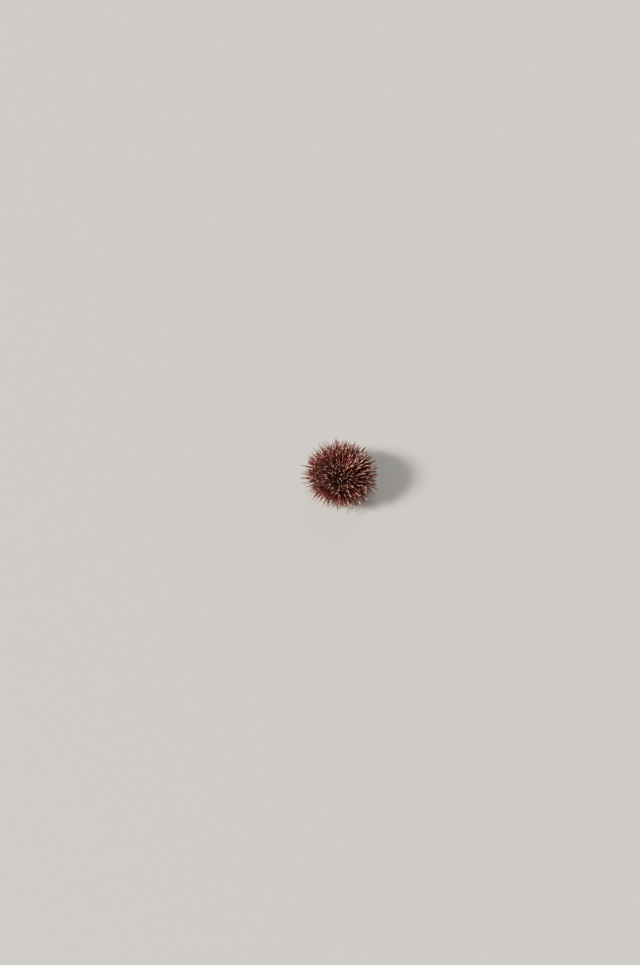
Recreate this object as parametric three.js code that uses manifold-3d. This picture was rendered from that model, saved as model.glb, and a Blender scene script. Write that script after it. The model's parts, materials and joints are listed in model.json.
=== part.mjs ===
// A purple sea urchin at life size, standing on its lower spines.
// Millimetres, +Z up, the floor at z = 0 and the body's axis near the origin.
// The body is parted the way a zoologist names it: five ambulacra and five interambulacra,
// each with its own spines, the apical disc on top, the peristome below and five teeth in it.
import * as THREE from "three";
import { mergeVertices } from "three/addons/utils/BufferGeometryUtils.js";
import Module from "manifold-3d";

const wasm = await Module();
wasm.setup();

// The test is the shell under the spines.
const TEST_RADIUS = 29;
const ABORAL_HEIGHT = 17;
const ORAL_HEIGHT = 11.5;
const ABORAL_FULLNESS = 2.05;
const ORAL_FULLNESS = 2.5;
const FLOOR_CLEARANCE = 7.5;
const AMBITUS_Z = FLOOR_CLEARANCE + ORAL_HEIGHT;
const MOUTH_RISE = 1.2;
const MOUTH_RISE_REACH = 0.6 * TEST_RADIUS;
const TEST_SIDES = 40;
const MERIDIAN_BANDS = 10;
const MERIDIAN_SAMPLES = 600;

// Five-fold plan of the test, and the gap that parts its pieces.
const RAYS = 5;
const AMBULACRUM_DEG = 27;
const INTERAMBULACRUM_DEG = 360 / RAYS - AMBULACRUM_DEG;
const JOIN_GAP = 0.3;
const APICAL_RADIUS = 6.5;
const PERISTOME_RADIUS = 10.5;
const CORE_Z = AMBITUS_Z;

// Spines, longest at the ambitus and shorter towards both poles.
const LONGEST_SPINE = 18.5;
const APICAL_SPINE = 11.5;
const ORAL_SPINE = 9.5;
const LONGEST_AT = 0.52;
const UPPER_FALL = 1.7;
const LOWER_FALL = 1.2;
const LOWER_STEEPNESS = 1.25;
const PRIMARY_RADIUS = 0.95;
const TIP_SHARE = 0.55;
// Length and thickness of the three ranks, as shares of a primary spine's.
const SPINE_RANKS = [
  { length: 1, thickness: 1 },
  { length: 0.8, thickness: 0.85 },
  { length: 0.62, thickness: 0.72 },
];
const AMBULACRAL_SIZE = 0.92;
const SPINE_PITCH = 3.6;
const ROW_PITCH = 3.4;
const POLE_MARGIN = 1.7;
const ROW_STAGGER = 0.22;
const PLACE_JITTER = 0.24;
const LENGTH_JITTER = 0.16;
const TILT_JITTER = 0.13;
const ROOT_DEPTH = 1.3;
const SPINE_SIDES = 3;
const FAN_OUT = 0.4;
const APICAL_CONE_DEG = 12;

// Spines that reach the floor end there in a small flat, the others keep clear of it.
const FOOT_SHARE = 0.6;
const FLOOR_GAP = 0.8;
const HOVER = 1.8;
const STEEPEST_DROP = 0.92;

// Apical disc.
const APICAL_RINGS = [
  { radius: 5.1, count: 10, length: 9.2, thickness: 0.68, turnDeg: 0 },
  { radius: 3.3, count: 7, length: 6.4, thickness: 0.6, turnDeg: 12 },
  { radius: 1.5, count: 4, length: 3.6, thickness: 0.52, turnDeg: 40 },
];
const RING_JITTER = 0.2;
const GENITAL_PLATE_RADIUS = 1.35;
const GENITAL_PLATE_AT = 4.2;
const PLATE_RISE = 0.5;
const PLATE_DEPTH = 3 * PLATE_RISE;
const PLATE_SIDES = 6;
const PLATE_TAPER = 0.7;

// Peristome, the skin round the mouth, with its lip, buccal tube feet and gills.
const MOUTH_RADIUS = 3.1;
const LIP_RADIUS = 4.2;
const LIP_DROP = 1.5;
const LIP_THICKNESS = 0.4;
const MOUTH_DEPTH = 2.6;
const BUCCAL_FEET_AT = 6.9;
const BUCCAL_PAIR_DEG = 11;
const BUCCAL_FOOT = { stalk: 0.45, disc: 0.95, length: 2.4, discDepth: 0.5, discEdge: 0.3, root: 0.8 };
const BUCCAL_FOOT_SIDES = 6;
const GILL_AT = 9.0;
const GILL_FILAMENTS = 3;
const GILL_SPREAD_DEG = 4.6;
const GILL_LENGTH = 2.1;
const GILL_RADIUS = 0.34;
const GILL_TIP_SHARE = 0.6;
const GILL_LEAN = 0.3;
const SHORT_GILL = 0.75;

// Teeth of the lantern, closed to a five-sided point.
const TOOTH_RADIUS = MOUTH_RADIUS - JOIN_GAP;
const TOOTH_SHOWS = 2.0;
const TOOTH_COLLAR = 0.2;
const TOOTH_SHOULDER = 0.86;
const TOOTH_TIP_RADIUS = 0.95;

const radians = THREE.MathUtils.degToRad;
const clamp = THREE.MathUtils.clamp;

// Even random numbers from 0 to 1, the same on every run.
let drawState = 20;
function draw() {
  drawState = (Math.imul(drawState, 1664525) + 1013904223) >>> 0;
  return drawState / 2 ** 32;
}
const spread = () => 2 * draw() - 1;

// Radius and height of the test's outline, at an angle from +90 degrees at the top to -90 at the mouth.
function outlinePoint(angle) {
  const above = angle >= 0;
  const power = 2 / (above ? ABORAL_FULLNESS : ORAL_FULLNESS);
  const radius = TEST_RADIUS * Math.pow(Math.max(0, Math.cos(angle)), power);
  const height = Math.pow(Math.abs(Math.sin(angle)), power);
  const hollow = Math.max(0, 1 - radius / MOUTH_RISE_REACH);
  const z = above ? ABORAL_HEIGHT * height : MOUTH_RISE * hollow ** 2 - ORAL_HEIGHT * height;
  return new THREE.Vector2(radius, AMBITUS_Z + z);
}

// The outline as closely spaced points, each with its distance from the top along the test.
const outline = [];
for (let i = 0, along = 0; i <= MERIDIAN_SAMPLES; i++) {
  const point = outlinePoint(Math.PI * (0.5 - i / MERIDIAN_SAMPLES));
  if (i > 0) along += point.distanceTo(outline[i - 1].point);
  outline.push({ point, along });
}
const MERIDIAN_LENGTH = outline[MERIDIAN_SAMPLES].along;

// Radius, height and outward normal of the test at a distance from its top.
function meridian(along) {
  const next = clamp(outline.findIndex((o) => o.along >= along), 1, MERIDIAN_SAMPLES);
  const a = outline[next - 1];
  const b = outline[next];
  const share = (along - a.along) / (b.along - a.along);
  const point = a.point.clone().lerp(b.point, share);
  const run = b.point.clone().sub(a.point).normalize();
  return { radius: point.x, z: point.y, normal: new THREE.Vector2(-run.y, run.x) };
}

// Distance from the top at which the test reaches a radius, above or below the ambitus.
function alongAt(radius, below) {
  const found = below
    ? outline.findLast((o) => o.point.x >= radius)
    : outline.find((o) => o.point.x >= radius);
  return found.along;
}
const APICAL_EDGE = alongAt(APICAL_RADIUS, false);
const PERISTOME_EDGE = alongAt(PERISTOME_RADIUS, true);

// A closed geometry as a solid, with its faces outwards.
function solid(geometry) {
  const bare = geometry.index ? geometry.toNonIndexed() : geometry.clone();
  bare.deleteAttribute("normal");
  bare.deleteAttribute("uv");
  const merged = mergeVertices(bare, 1e-4);
  const mesh = { numProp: 3, vertProperties: merged.attributes.position.array };
  mesh.triVerts = new Uint32Array(merged.index.array);
  const made = new wasm.Manifold(new wasm.Mesh(mesh));
  if (made.volume() > 0) return made;
  for (let i = 0; i < mesh.triVerts.length; i += 3) {
    mesh.triVerts.subarray(i, i + 2).reverse();
  }
  return new wasm.Manifold(new wasm.Mesh(mesh));
}

// The largest closed surface of a solid, as a geometry.
function geometryOf(made) {
  const bodies = made.decompose().sort((a, b) => b.volume() - a.volume());
  const mesh = bodies[0].getMesh();
  const geometry = new THREE.BufferGeometry();
  const places = new Float32Array(mesh.vertProperties);
  geometry.setAttribute("position", new THREE.BufferAttribute(places, mesh.numProp));
  geometry.setIndex(new THREE.BufferAttribute(new Uint32Array(mesh.triVerts), 1));
  geometry.computeVertexNormals();
  return geometry;
}

// A closed profile of radius and height turned round the Z axis.
function turned(profile, sides, startDeg = 0) {
  const closed = [...profile, profile[0]].map(([r, z]) => new THREE.Vector2(r, z));
  return new THREE.LatheGeometry(closed, sides, radians(startDeg)).rotateX(Math.PI / 2);
}

// Radius and height pairs of the test between two distances from the top.
function outlineBetween(from, to, bands) {
  return Array.from({ length: bands + 1 }, (_, i) => {
    const { radius, z } = meridian(THREE.MathUtils.lerp(from, to, i / bands));
    return [radius, z];
  });
}

// The whole test as one ring round the apical disc and the peristome.
function testRing() {
  const face = outlineBetween(APICAL_EDGE, PERISTOME_EDGE, MERIDIAN_BANDS);
  const top = APICAL_RADIUS + JOIN_GAP / 2;
  const mouth = PERISTOME_RADIUS + JOIN_GAP / 2;
  face[0][0] = top;
  face[MERIDIAN_BANDS][0] = mouth;
  const stepDeg = 360 / TEST_SIDES;
  const inner = [
    [mouth, CORE_Z],
    [top, CORE_Z],
  ];
  return solid(turned([...face, ...inner], TEST_SIDES, stepDeg / 2));
}

// The wedge of space that belongs to one ray of the test.
function rayWedge(centreDeg, widthDeg) {
  const half = radians(widthDeg / 2);
  const point = JOIN_GAP / 2 / Math.sin(half);
  const far = 2 * TEST_RADIUS;
  const side = (far - point) * Math.tan(half);
  const plan = new THREE.Shape([
    new THREE.Vector2(point, 0),
    new THREE.Vector2(far, -side),
    new THREE.Vector2(far, side),
  ]);
  const depth = 2 * (AMBITUS_Z + ABORAL_HEIGHT);
  const wedge = new THREE.ExtrudeGeometry(plan, { depth, bevelEnabled: false });
  return solid(wedge.rotateZ(radians(centreDeg)));
}

// A straight spine from its sunk root to its blunt tip. A foot's tip is slid along the spine to the floor.
function spineSolid(root, tip, rootRadius, tipRadius, isFoot) {
  const axis = tip.clone().sub(root);
  const length = axis.length();
  axis.normalize();
  const shaft = new THREE.CylinderGeometry(tipRadius, rootRadius, length, SPINE_SIDES, 1);
  const place = shaft.attributes.position;
  const turn = new THREE.Quaternion().setFromUnitVectors(new THREE.Vector3(0, 1, 0), axis);
  const corner = new THREE.Vector3();
  for (let i = 0; i < place.count; i++) {
    corner.fromBufferAttribute(place, i);
    const atTip = corner.y > 0;
    corner.y += length / 2;
    corner.applyQuaternion(turn).add(root);
    if (atTip && isFoot) corner.addScaledVector(axis, -corner.z / axis.z);
    place.setXYZ(i, corner.x, corner.y, corner.z);
  }
  return solid(shaft);
}

// Length of a primary spine at a share of the way from the top to the mouth.
function spineLength(share) {
  if (share < LONGEST_AT) {
    const up = (LONGEST_AT - share) / LONGEST_AT;
    return LONGEST_SPINE - (LONGEST_SPINE - APICAL_SPINE) * up ** UPPER_FALL;
  }
  const down = (share - LONGEST_AT) / (1 - LONGEST_AT);
  const fall = Math.min(1, LOWER_STEEPNESS * down) ** LOWER_FALL;
  return LONGEST_SPINE - (LONGEST_SPINE - ORAL_SPINE) * fall;
}

// Keeps a point of a spine inside its ray's wedge and outside the apical disc's cone of spines.
function heldInRay(point, half, radius) {
  const room = radius + JOIN_GAP / 2;
  const rise = Math.max(0, point.z - meridian(APICAL_EDGE).z);
  const apical = APICAL_RADIUS + rise * Math.tan(radians(APICAL_CONE_DEG)) + room;
  if (point.z > AMBITUS_Z) point.x = Math.max(point.x, apical);
  const side = point.x * Math.tan(half) - room / Math.cos(half);
  point.y = clamp(point.y, -side, side);
  return point;
}

// The spines of one ray in its own frame, X outwards along its middle, Y across it.
function raySpines(widthDeg, size) {
  const half = radians(widthDeg / 2);
  const first = APICAL_EDGE + POLE_MARGIN;
  const last = PERISTOME_EDGE - POLE_MARGIN;
  const rows = Math.round((last - first) / ROW_PITCH);
  const spines = [];
  for (let row = 0; row <= rows; row++) {
    const rowAlong = THREE.MathUtils.lerp(first, last, row / rows);
    const width = 2 * meridian(rowAlong).radius * Math.sin(half);
    const count = Math.max(1, Math.round(width / SPINE_PITCH));
    const pitch = width / count;
    const stagger = count > 1 ? (row % 2 ? ROW_STAGGER : -ROW_STAGGER) : 0;
    for (let i = 0; i < count; i++) {
      const across = (i + 0.5 - count / 2 + stagger + 0.5 * PLACE_JITTER * spread()) * pitch;
      const isPrimary = Math.abs(Math.abs(across) - width / 4) < pitch / 2;
      const rank = SPINE_RANKS[isPrimary ? 0 : 1 + ((row + i) % 2)];
      const along = rowAlong + PLACE_JITTER * ROW_PITCH * spread() * (row % rows ? 1 : 0);
      spines.push(raySpine(along, across, half, size, rank));
    }
  }
  return spines;
}

// One spine: its root, tip and thickness, leaning a little at random and kept off the floor.
function raySpine(along, across, half, size, rank) {
  const { radius, z, normal } = meridian(along);
  const turn = Math.asin(across / radius);
  const out = new THREE.Vector3(Math.cos(turn), Math.sin(turn), 0);
  const base = out.clone().multiplyScalar(radius).setZ(z);
  const face = out.clone().multiplyScalar(normal.x).setZ(normal.y);
  const radial = base.clone().setZ(z - AMBITUS_Z).normalize();
  const aim = face.lerp(radial, FAN_OUT).normalize();
  aim.add(new THREE.Vector3(spread(), spread(), spread()).multiplyScalar(TILT_JITTER)).normalize();
  const longest = size * rank.length * spineLength(along / MERIDIAN_LENGTH);
  let length = longest * (1 + LENGTH_JITTER * spread());
  const thickness = PRIMARY_RADIUS * size * rank.thickness;
  const wantsFloor = draw() < FOOT_SHARE;
  let isFoot = false;
  if (base.z + aim.z * length < FLOOR_GAP) {
    isFoot = wantsFloor && length > base.z;
    const drop = Math.min(STEEPEST_DROP, (base.z - (isFoot ? 0 : HOVER)) / length);
    const level = Math.hypot(aim.x, aim.y);
    const reach = Math.sqrt(1 - drop * drop) / level;
    aim.set(aim.x * reach, aim.y * reach, -drop);
    if (isFoot) length = base.z / drop;
  }
  const root = heldInRay(base.clone().addScaledVector(aim, -ROOT_DEPTH), half, thickness);
  const tip = heldInRay(base.clone().addScaledVector(aim, length), half, thickness);
  return { root, tip, thickness, isFoot };
}

// One ray of the test fused with its spines.
function ray(ring, centreDeg, widthDeg, size) {
  const shell = ring.intersect(rayWedge(centreDeg, widthDeg));
  const upright = new THREE.Vector3(0, 0, 1);
  const pieces = raySpines(widthDeg, size).map(({ root, tip, thickness, isFoot }) => {
    root.applyAxisAngle(upright, radians(centreDeg));
    tip.applyAxisAngle(upright, radians(centreDeg));
    return spineSolid(root, tip, thickness, thickness * TIP_SHARE, isFoot);
  });
  return geometryOf(wasm.Manifold.union([shell, ...pieces]));
}

// The disc at the top: five genital plates round the periproct, with small spines.
function apicalDisc() {
  const edge = APICAL_RADIUS - JOIN_GAP / 2;
  const face = outlineBetween(0, APICAL_EDGE, 3);
  face[3][0] = edge;
  const floor = CORE_Z + JOIN_GAP / 2;
  const pieces = [solid(turned([...face, [edge, floor], [0, floor]], TEST_SIDES / 2))];
  const plateTop = meridian(GENITAL_PLATE_AT).z + PLATE_RISE;
  for (let i = 0; i < RAYS; i++) {
    const place = radians((i + 0.5) * (360 / RAYS));
    const plate = new THREE.CylinderGeometry(
      PLATE_TAPER * GENITAL_PLATE_RADIUS, GENITAL_PLATE_RADIUS, PLATE_DEPTH, PLATE_SIDES, 1);
    plate.rotateX(Math.PI / 2);
    plate.translate(GENITAL_PLATE_AT, 0, plateTop - PLATE_DEPTH / 2);
    pieces.push(solid(plate.rotateZ(place)));
  }
  for (const { radius, count, length, thickness, turnDeg } of APICAL_RINGS) {
    for (let i = 0; i < count; i++) {
      const place = radians(turnDeg + ((i + RING_JITTER * spread()) * 360) / count);
      const base = new THREE.Vector3(radius * Math.cos(place), radius * Math.sin(place), 0);
      base.z = meridian(alongAt(radius, false)).z;
      const lean = Math.tan(radians(APICAL_CONE_DEG)) * (radius / APICAL_RADIUS);
      const aim = new THREE.Vector3(lean * Math.cos(place), lean * Math.sin(place), 1).normalize();
      const tip = base.clone().addScaledVector(aim, length * (1 + LENGTH_JITTER * spread()));
      const root = base.clone().addScaledVector(aim, -ROOT_DEPTH);
      pieces.push(spineSolid(root, tip, thickness, thickness * TIP_SHARE, false));
    }
  }
  return geometryOf(wasm.Manifold.union(pieces));
}

// Height of the peristome's skin, which bulges down from its rim to the lip.
function peristomeZ(radius) {
  const rim = meridian(PERISTOME_EDGE).z;
  const share = clamp((PERISTOME_RADIUS - radius) / (PERISTOME_RADIUS - LIP_RADIUS), 0, 1);
  return rim - LIP_DROP * Math.sin((share * Math.PI) / 2);
}

// The skin round the mouth as one plug, with the lip, ten buccal tube feet and ten gills.
function peristome() {
  const rim = PERISTOME_RADIUS - JOIN_GAP / 2;
  const lip = peristomeZ(LIP_RADIUS);
  const ceiling = lip + MOUTH_DEPTH;
  const skin = [0, 1, 2, 3, 4].map((i) => {
    const radius = THREE.MathUtils.lerp(rim, LIP_RADIUS, i / 4);
    return [radius, peristomeZ(radius)];
  });
  const top = CORE_Z - JOIN_GAP / 2;
  const mouth = [[MOUTH_RADIUS, lip + LIP_THICKNESS], [MOUTH_RADIUS, ceiling], [0, ceiling]];
  const pieces = [solid(turned([[0, top], [rim, top], ...skin, ...mouth], TEST_SIDES / 2))];
  const { stalk, disc, length, discDepth, discEdge, root } = BUCCAL_FOOT;
  const foot = [[0, root], [stalk, root], [stalk, discDepth - length]];
  foot.push([disc, discEdge - length], [disc, -length], [0, -length]);
  for (let i = 0; i < 2 * RAYS; i++) {
    const ambulacrum = Math.floor(i / 2) * (360 / RAYS);
    const place = radians(ambulacrum + (i % 2 ? 1 : -1) * BUCCAL_PAIR_DEG);
    const stub = turned(foot, BUCCAL_FOOT_SIDES).translate(BUCCAL_FEET_AT, 0, peristomeZ(BUCCAL_FEET_AT));
    pieces.push(solid(stub.rotateZ(place)));
    const join = ambulacrum + ((i % 2 ? 1 : -1) * AMBULACRUM_DEG) / 2;
    for (let k = 0; k < GILL_FILAMENTS; k++) {
      const turn = radians(join + (k - (GILL_FILAMENTS - 1) / 2) * GILL_SPREAD_DEG);
      const base = new THREE.Vector3(GILL_AT, 0, peristomeZ(GILL_AT));
      const aim = new THREE.Vector3(GILL_LEAN, 0, -1).normalize();
      const tip = base.clone().addScaledVector(aim, GILL_LENGTH * (k % 2 ? 1 : SHORT_GILL));
      base.addScaledVector(aim, -ROOT_DEPTH);
      const upright = new THREE.Vector3(0, 0, 1);
      base.applyAxisAngle(upright, turn);
      tip.applyAxisAngle(upright, turn);
      pieces.push(spineSolid(base, tip, GILL_RADIUS, GILL_TIP_SHARE * GILL_RADIUS, false));
    }
  }
  return geometryOf(wasm.Manifold.union(pieces));
}

// One tooth: a fifth of the beak, from the roof of the mouth to its point below the lip.
function tooth(centreDeg) {
  const lip = peristomeZ(LIP_RADIUS);
  const roof = lip + MOUTH_DEPTH - JOIN_GAP;
  const tip = lip - TOOTH_SHOWS;
  const beak = [
    [0, roof],
    [TOOTH_RADIUS, roof],
    [TOOTH_RADIUS, lip + TOOTH_COLLAR],
    [TOOTH_RADIUS * TOOTH_SHOULDER, lip - TOOTH_SHOWS / 2],
    [TOOTH_TIP_RADIUS, tip],
    [0, tip],
  ];
  const whole = solid(turned(beak, TEST_SIDES / 2));
  return geometryOf(whole.intersect(rayWedge(centreDeg, 360 / RAYS)));
}

const spineCoat = new THREE.MeshStandardMaterial({ color: 0x7a2b38, roughness: 0.4 });
const apicalSkin = new THREE.MeshStandardMaterial({ color: 0x5a2230, roughness: 0.5 });
const mouthSkin = new THREE.MeshStandardMaterial({ color: 0x86524f, roughness: 0.55 });
const toothEnamel = new THREE.MeshStandardMaterial({ color: 0xe8dfc8, roughness: 0.35 });

const urchin = new THREE.Group();

function addPart(name, geometry, material) {
  const part = new THREE.Mesh(geometry, material);
  part.name = name;
  urchin.add(part);
}

const ring = testRing();
for (let i = 0; i < RAYS; i++) {
  const middle = (i * 360) / RAYS;
  const between = middle + 180 / RAYS;
  addPart(`ambulacrum_${i + 1}`, ray(ring, middle, AMBULACRUM_DEG, AMBULACRAL_SIZE), spineCoat);
  addPart(`interambulacrum_${i + 1}`, ray(ring, between, INTERAMBULACRUM_DEG, 1), spineCoat);
  addPart(`tooth_${i + 1}`, tooth(between), toothEnamel);
}
addPart("apical_disc", apicalDisc(), apicalSkin);
addPart("peristome", peristome(), mouthSkin);

// The floor lies at z = 0, and the model's box is centred over the origin.
const box = new THREE.Box3().setFromObject(urchin);
const centre = box.getCenter(new THREE.Vector3());
urchin.position.set(-centre.x, -centre.y, 0);

export default urchin;
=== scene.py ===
"""A purple sea urchin at life size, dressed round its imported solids.

The skin, the large spines, the mouth and the teeth stand where the solids have them, with finer
spines, pincers and tube feet between. Sizes are in metres, +Z is up, and the floor lies at z = 0.
"""

import json
import math
from functools import partial
from itertools import product

import bmesh
import bpy
import numpy as np
from mathutils import Matrix, Vector
from mathutils.kdtree import KDTree

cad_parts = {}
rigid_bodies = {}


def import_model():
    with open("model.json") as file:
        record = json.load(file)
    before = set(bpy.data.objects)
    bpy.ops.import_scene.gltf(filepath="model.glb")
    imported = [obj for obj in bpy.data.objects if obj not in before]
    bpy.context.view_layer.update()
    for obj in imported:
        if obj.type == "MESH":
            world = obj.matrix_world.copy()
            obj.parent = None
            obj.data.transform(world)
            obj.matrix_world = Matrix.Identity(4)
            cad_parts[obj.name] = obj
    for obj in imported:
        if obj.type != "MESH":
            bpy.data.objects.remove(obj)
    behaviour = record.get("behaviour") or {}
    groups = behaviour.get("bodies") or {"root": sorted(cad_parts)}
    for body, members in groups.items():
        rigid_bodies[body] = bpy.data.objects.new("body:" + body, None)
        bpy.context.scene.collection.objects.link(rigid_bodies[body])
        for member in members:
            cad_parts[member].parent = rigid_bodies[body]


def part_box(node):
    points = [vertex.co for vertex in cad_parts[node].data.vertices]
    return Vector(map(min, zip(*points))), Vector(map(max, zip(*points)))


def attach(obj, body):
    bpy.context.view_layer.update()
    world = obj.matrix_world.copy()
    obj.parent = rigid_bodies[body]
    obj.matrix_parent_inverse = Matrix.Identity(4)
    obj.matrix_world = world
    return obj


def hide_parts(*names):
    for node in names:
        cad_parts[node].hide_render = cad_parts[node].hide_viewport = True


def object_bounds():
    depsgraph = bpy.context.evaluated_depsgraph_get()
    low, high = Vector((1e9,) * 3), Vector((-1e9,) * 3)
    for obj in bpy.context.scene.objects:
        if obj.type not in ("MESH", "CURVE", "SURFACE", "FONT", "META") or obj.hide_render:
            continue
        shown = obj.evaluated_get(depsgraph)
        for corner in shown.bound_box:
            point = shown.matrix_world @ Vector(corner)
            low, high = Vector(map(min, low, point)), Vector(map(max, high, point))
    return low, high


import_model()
cad_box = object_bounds()

bl_info = {
    "name": "Purple sea urchin",
    "version": (1, 0, 0),
    "blender": (4, 5, 0),
    "location": "View3D > Sidebar > Urchin",
    "description": "Dresses the solids of a purple sea urchin with skin, spines and small organs",
    "category": "Object",
}

MM = 0.001

# The test under the spines, as its solids were made.
TEST_RADIUS = 29 * MM
ABORAL_HEIGHT = 17 * MM
ORAL_HEIGHT = 11.5 * MM
ABORAL_FULLNESS = 2.05
ORAL_FULLNESS = 2.5
AMBITUS_Z = 19 * MM
MOUTH_RISE = 1.2 * MM
MOUTH_RISE_REACH = 0.6 * TEST_RADIUS
MERIDIAN_SAMPLES = 600
APICAL_RADIUS = 6.5 * MM
PERISTOME_RADIUS = 10.5 * MM
JOIN_GAP = 0.3 * MM

# The five-fold plan of the test.
RAYS = 5
RAY_TURN = math.tau / RAYS
AMBULACRUM_DEG = 27
INTERAMBULACRUM_DEG = 360 / RAYS - AMBULACRUM_DEG
AMBULACRUM_EDGE = math.radians(AMBULACRUM_DEG / 2)

# The large spines, placed by the same rule and the same draws as the solids'.
FIRST_DRAW = 20
LONGEST_SPINE = 18.5 * MM
APICAL_SPINE = 11.5 * MM
ORAL_SPINE = 9.5 * MM
LONGEST_AT = 0.52
UPPER_FALL = 1.7
LOWER_FALL = 1.2
LOWER_STEEPNESS = 1.25
PRIMARY_RADIUS = 0.95 * MM
SPINE_RANKS = (
    {"length": 1, "thickness": 1},
    {"length": 0.8, "thickness": 0.85},
    {"length": 0.62, "thickness": 0.72},
)
AMBULACRAL_SIZE = 0.92
SPINE_PITCH = 3.6 * MM
ROW_PITCH = 3.4 * MM
POLE_MARGIN = 1.7 * MM
ROW_STAGGER = 0.22
PLACE_JITTER = 0.24
LENGTH_JITTER = 0.16
TILT_JITTER = 0.13
RING_JITTER = 0.2
ROOT_DEPTH = 1.3 * MM
FAN_OUT = 0.4
APICAL_CONE = math.radians(12)
FOOT_SHARE = 0.6
FLOOR_GAP = 0.8 * MM
HOVER = 1.8 * MM
STEEPEST_DROP = 0.92
APICAL_RINGS = [
    {"radius": 5.1 * MM, "count": 10, "length": 9.2 * MM, "thickness": 0.68 * MM, "turn_deg": 0},
    {"radius": 3.3 * MM, "count": 7, "length": 6.4 * MM, "thickness": 0.6 * MM, "turn_deg": 12},
    {"radius": 1.5 * MM, "count": 4, "length": 3.6 * MM, "thickness": 0.52 * MM, "turn_deg": 40},
]

# A spine that stands on the floor is shortened by this share of its radius, so that none sinks in.
FLOOR_TRIM = 0.62

# The skin of the test: its mesh, how deep it lies in the solids, its bosses and its pores.
SKIN_ROWS = 176
SKIN_SIDES = 400
SKIN_SINK = 0.2 * MM
RAY_SWELL = 0.2 * MM
BOSS_REACH = 1.15 * MM
BOSS_HEIGHT = 0.5 * MM
PORE_REACH = 0.5 * MM
PORE_DEPTH = 0.25 * MM

# The bed of the scattered shapes, a little below the skin: its mesh, its cover and how they vary.
BED_ROWS = 60
BED_SIDES = 120
BED_DEPTH = 0.25 * MM
BED_DENSITY = 3e6
APICAL_COVER = 0.75
BARE_RIM = 0.5 * MM
USUAL_SHARE = 0.7
STOUTNESS = (0.8, 1.15)
LEAST_FALL = 0.001

# The coats on the bed. Shortest and Longest are shares of a large spine's length at that place.
COAT_FLOOR_GAP = 1.3 * MM
SECONDARY = {"Clearance": 1.35 * MM, "Shortest": 0.48, "Longest": 0.84, "Lean": 0.16, "Seed": 11}
MILIARY = {"Clearance": 0.95 * MM, "Shortest": 0.14, "Longest": 0.27, "Lean": 0.3, "Seed": 29}
PINCERS = {"Clearance": 1.0 * MM, "Shortest": 0.2, "Longest": 0.36, "Lean": 0.35, "Seed": 41}
PINCER_RADIUS = 0.17 * MM

# The tube feet: columns as shares of half an ambulacrum, and lengths as shares of a large spine's.
FOOT_DRAW = 77
FOOT_COLUMNS = (-0.86, -0.6, 0.6, 0.86)
OUTER_COLUMN = 0.7
FOOT_PLACE_JITTER = 0.3
FOOT_STANDS = 0.46
FOOT_SHORTEST = 0.5
FOOT_LENGTH_SPREAD = 0.3
FOOT_TILT_JITTER = 0.3
FOOT_HOVER = 2.8 * MM
FOOT_RIM_MARGIN = 1.0 * MM

# The plates at the top, as distances from the axis, widths and heights.
PLATE_ROWS = 97
PLATE_SIDES = 240
PLATE_UNDER_STEP = 12
PLATE_EDGE = APICAL_RADIUS + 0.4 * MM
PLATE_FADE = 0.5 * MM
PLATE_SINK = 0.15 * MM
PLATE_DEPTH = 0.9 * MM
MOSAIC_DRAW = 5
VENT_PLATE_AT = 0.3 * MM
VENT_PLATE_TURN = 1.0
VENT_RINGS = ((5, 1.15 * MM), (10, 2.15 * MM))
VENT_TURN_JITTER = 0.3
VENT_PLACE_JITTER = 0.12
GENITAL_AT = 4.35 * MM
GENITAL_EXTRA = 0.8 * MM
SIEVE_RAY = 1
SIEVE_EXTRA = 1.2 * MM
OCULAR_AT = 5.8 * MM
OCULAR_EXTRA = 0.15 * MM
SEAM_REACH = 0.17 * MM
PLATE_HEIGHT = 0.3 * MM
SIEVE_HEIGHT = 0.14 * MM
GENITAL_PORE_AT = 5.3 * MM
GENITAL_PORE_REACH = 0.22 * MM
GENITAL_PORE_DEPTH = 0.4 * MM
VENT_REACH = 0.35 * MM
VENT_DEPTH = 0.3 * MM

# The mouth below.
MOUTH_RADIUS = 3.1 * MM
LIP_RADIUS = 4.2 * MM
LIP_DROP = 1.5 * MM
LIP_FROM = 0.78
LIP_FADE = 0.15
MOUTH_DEPTH = 2.6 * MM
MOUTH_EDGE = PERISTOME_RADIUS + 0.1 * MM
MOUTH_ROWS = 40
MOUTH_SIDES = 220
MOUTH_FOLDS = 26
FINE_FOLDS = 41
FINE_FOLD_SHARE = 0.5
FINE_FOLD_TURN = 1.3
CROSS_WAVES = 38
CROSS_WAVE_HEIGHT = 0.07 * MM
BUCCAL_FEET_AT = 6.9 * MM
BUCCAL_PAIR = math.radians(11)
BUCCAL_LEAN = 0.15
BUCCAL_SIZE = (0.5 * MM, 0.5 * MM, 2.6 * MM)
GILL_AT = 9.0 * MM
GILL_LEAN = 0.5
GILL_SIZE = (MM, MM, 2.2 * MM)
GILL_FINGERS = 11
GILL_FINGER_TURN = 2.4
GILL_SPREAD = 0.9
GILL_ROOT_SPREAD = 0.15
GILL_STOOP = 0.35
GILL_STEP = 0.08
TOOTH_RADIUS = 2.7 * MM
TOOTH_SHOWS = 2.0 * MM
TOOTH_CHISEL = 0.8 * MM
TOOTH_KEEL = 0.3 * MM
TOOTH_TAPER = 0.68
TOOTH_TAPER_POWER = 2.2
TOOTH_GAP = 0.14 * MM
TOOTH_ROWS = 18
TOOTH_WEDGE = 0.94
TOOTH_NARROWING = 0.3
TOOTH_SIDE_REACH = 0.93
TOOTH_SIDE_POINTS = 6
TOOTH_FACE_TURN = 0.8
TOOTH_FACE_POINTS = 7

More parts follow.
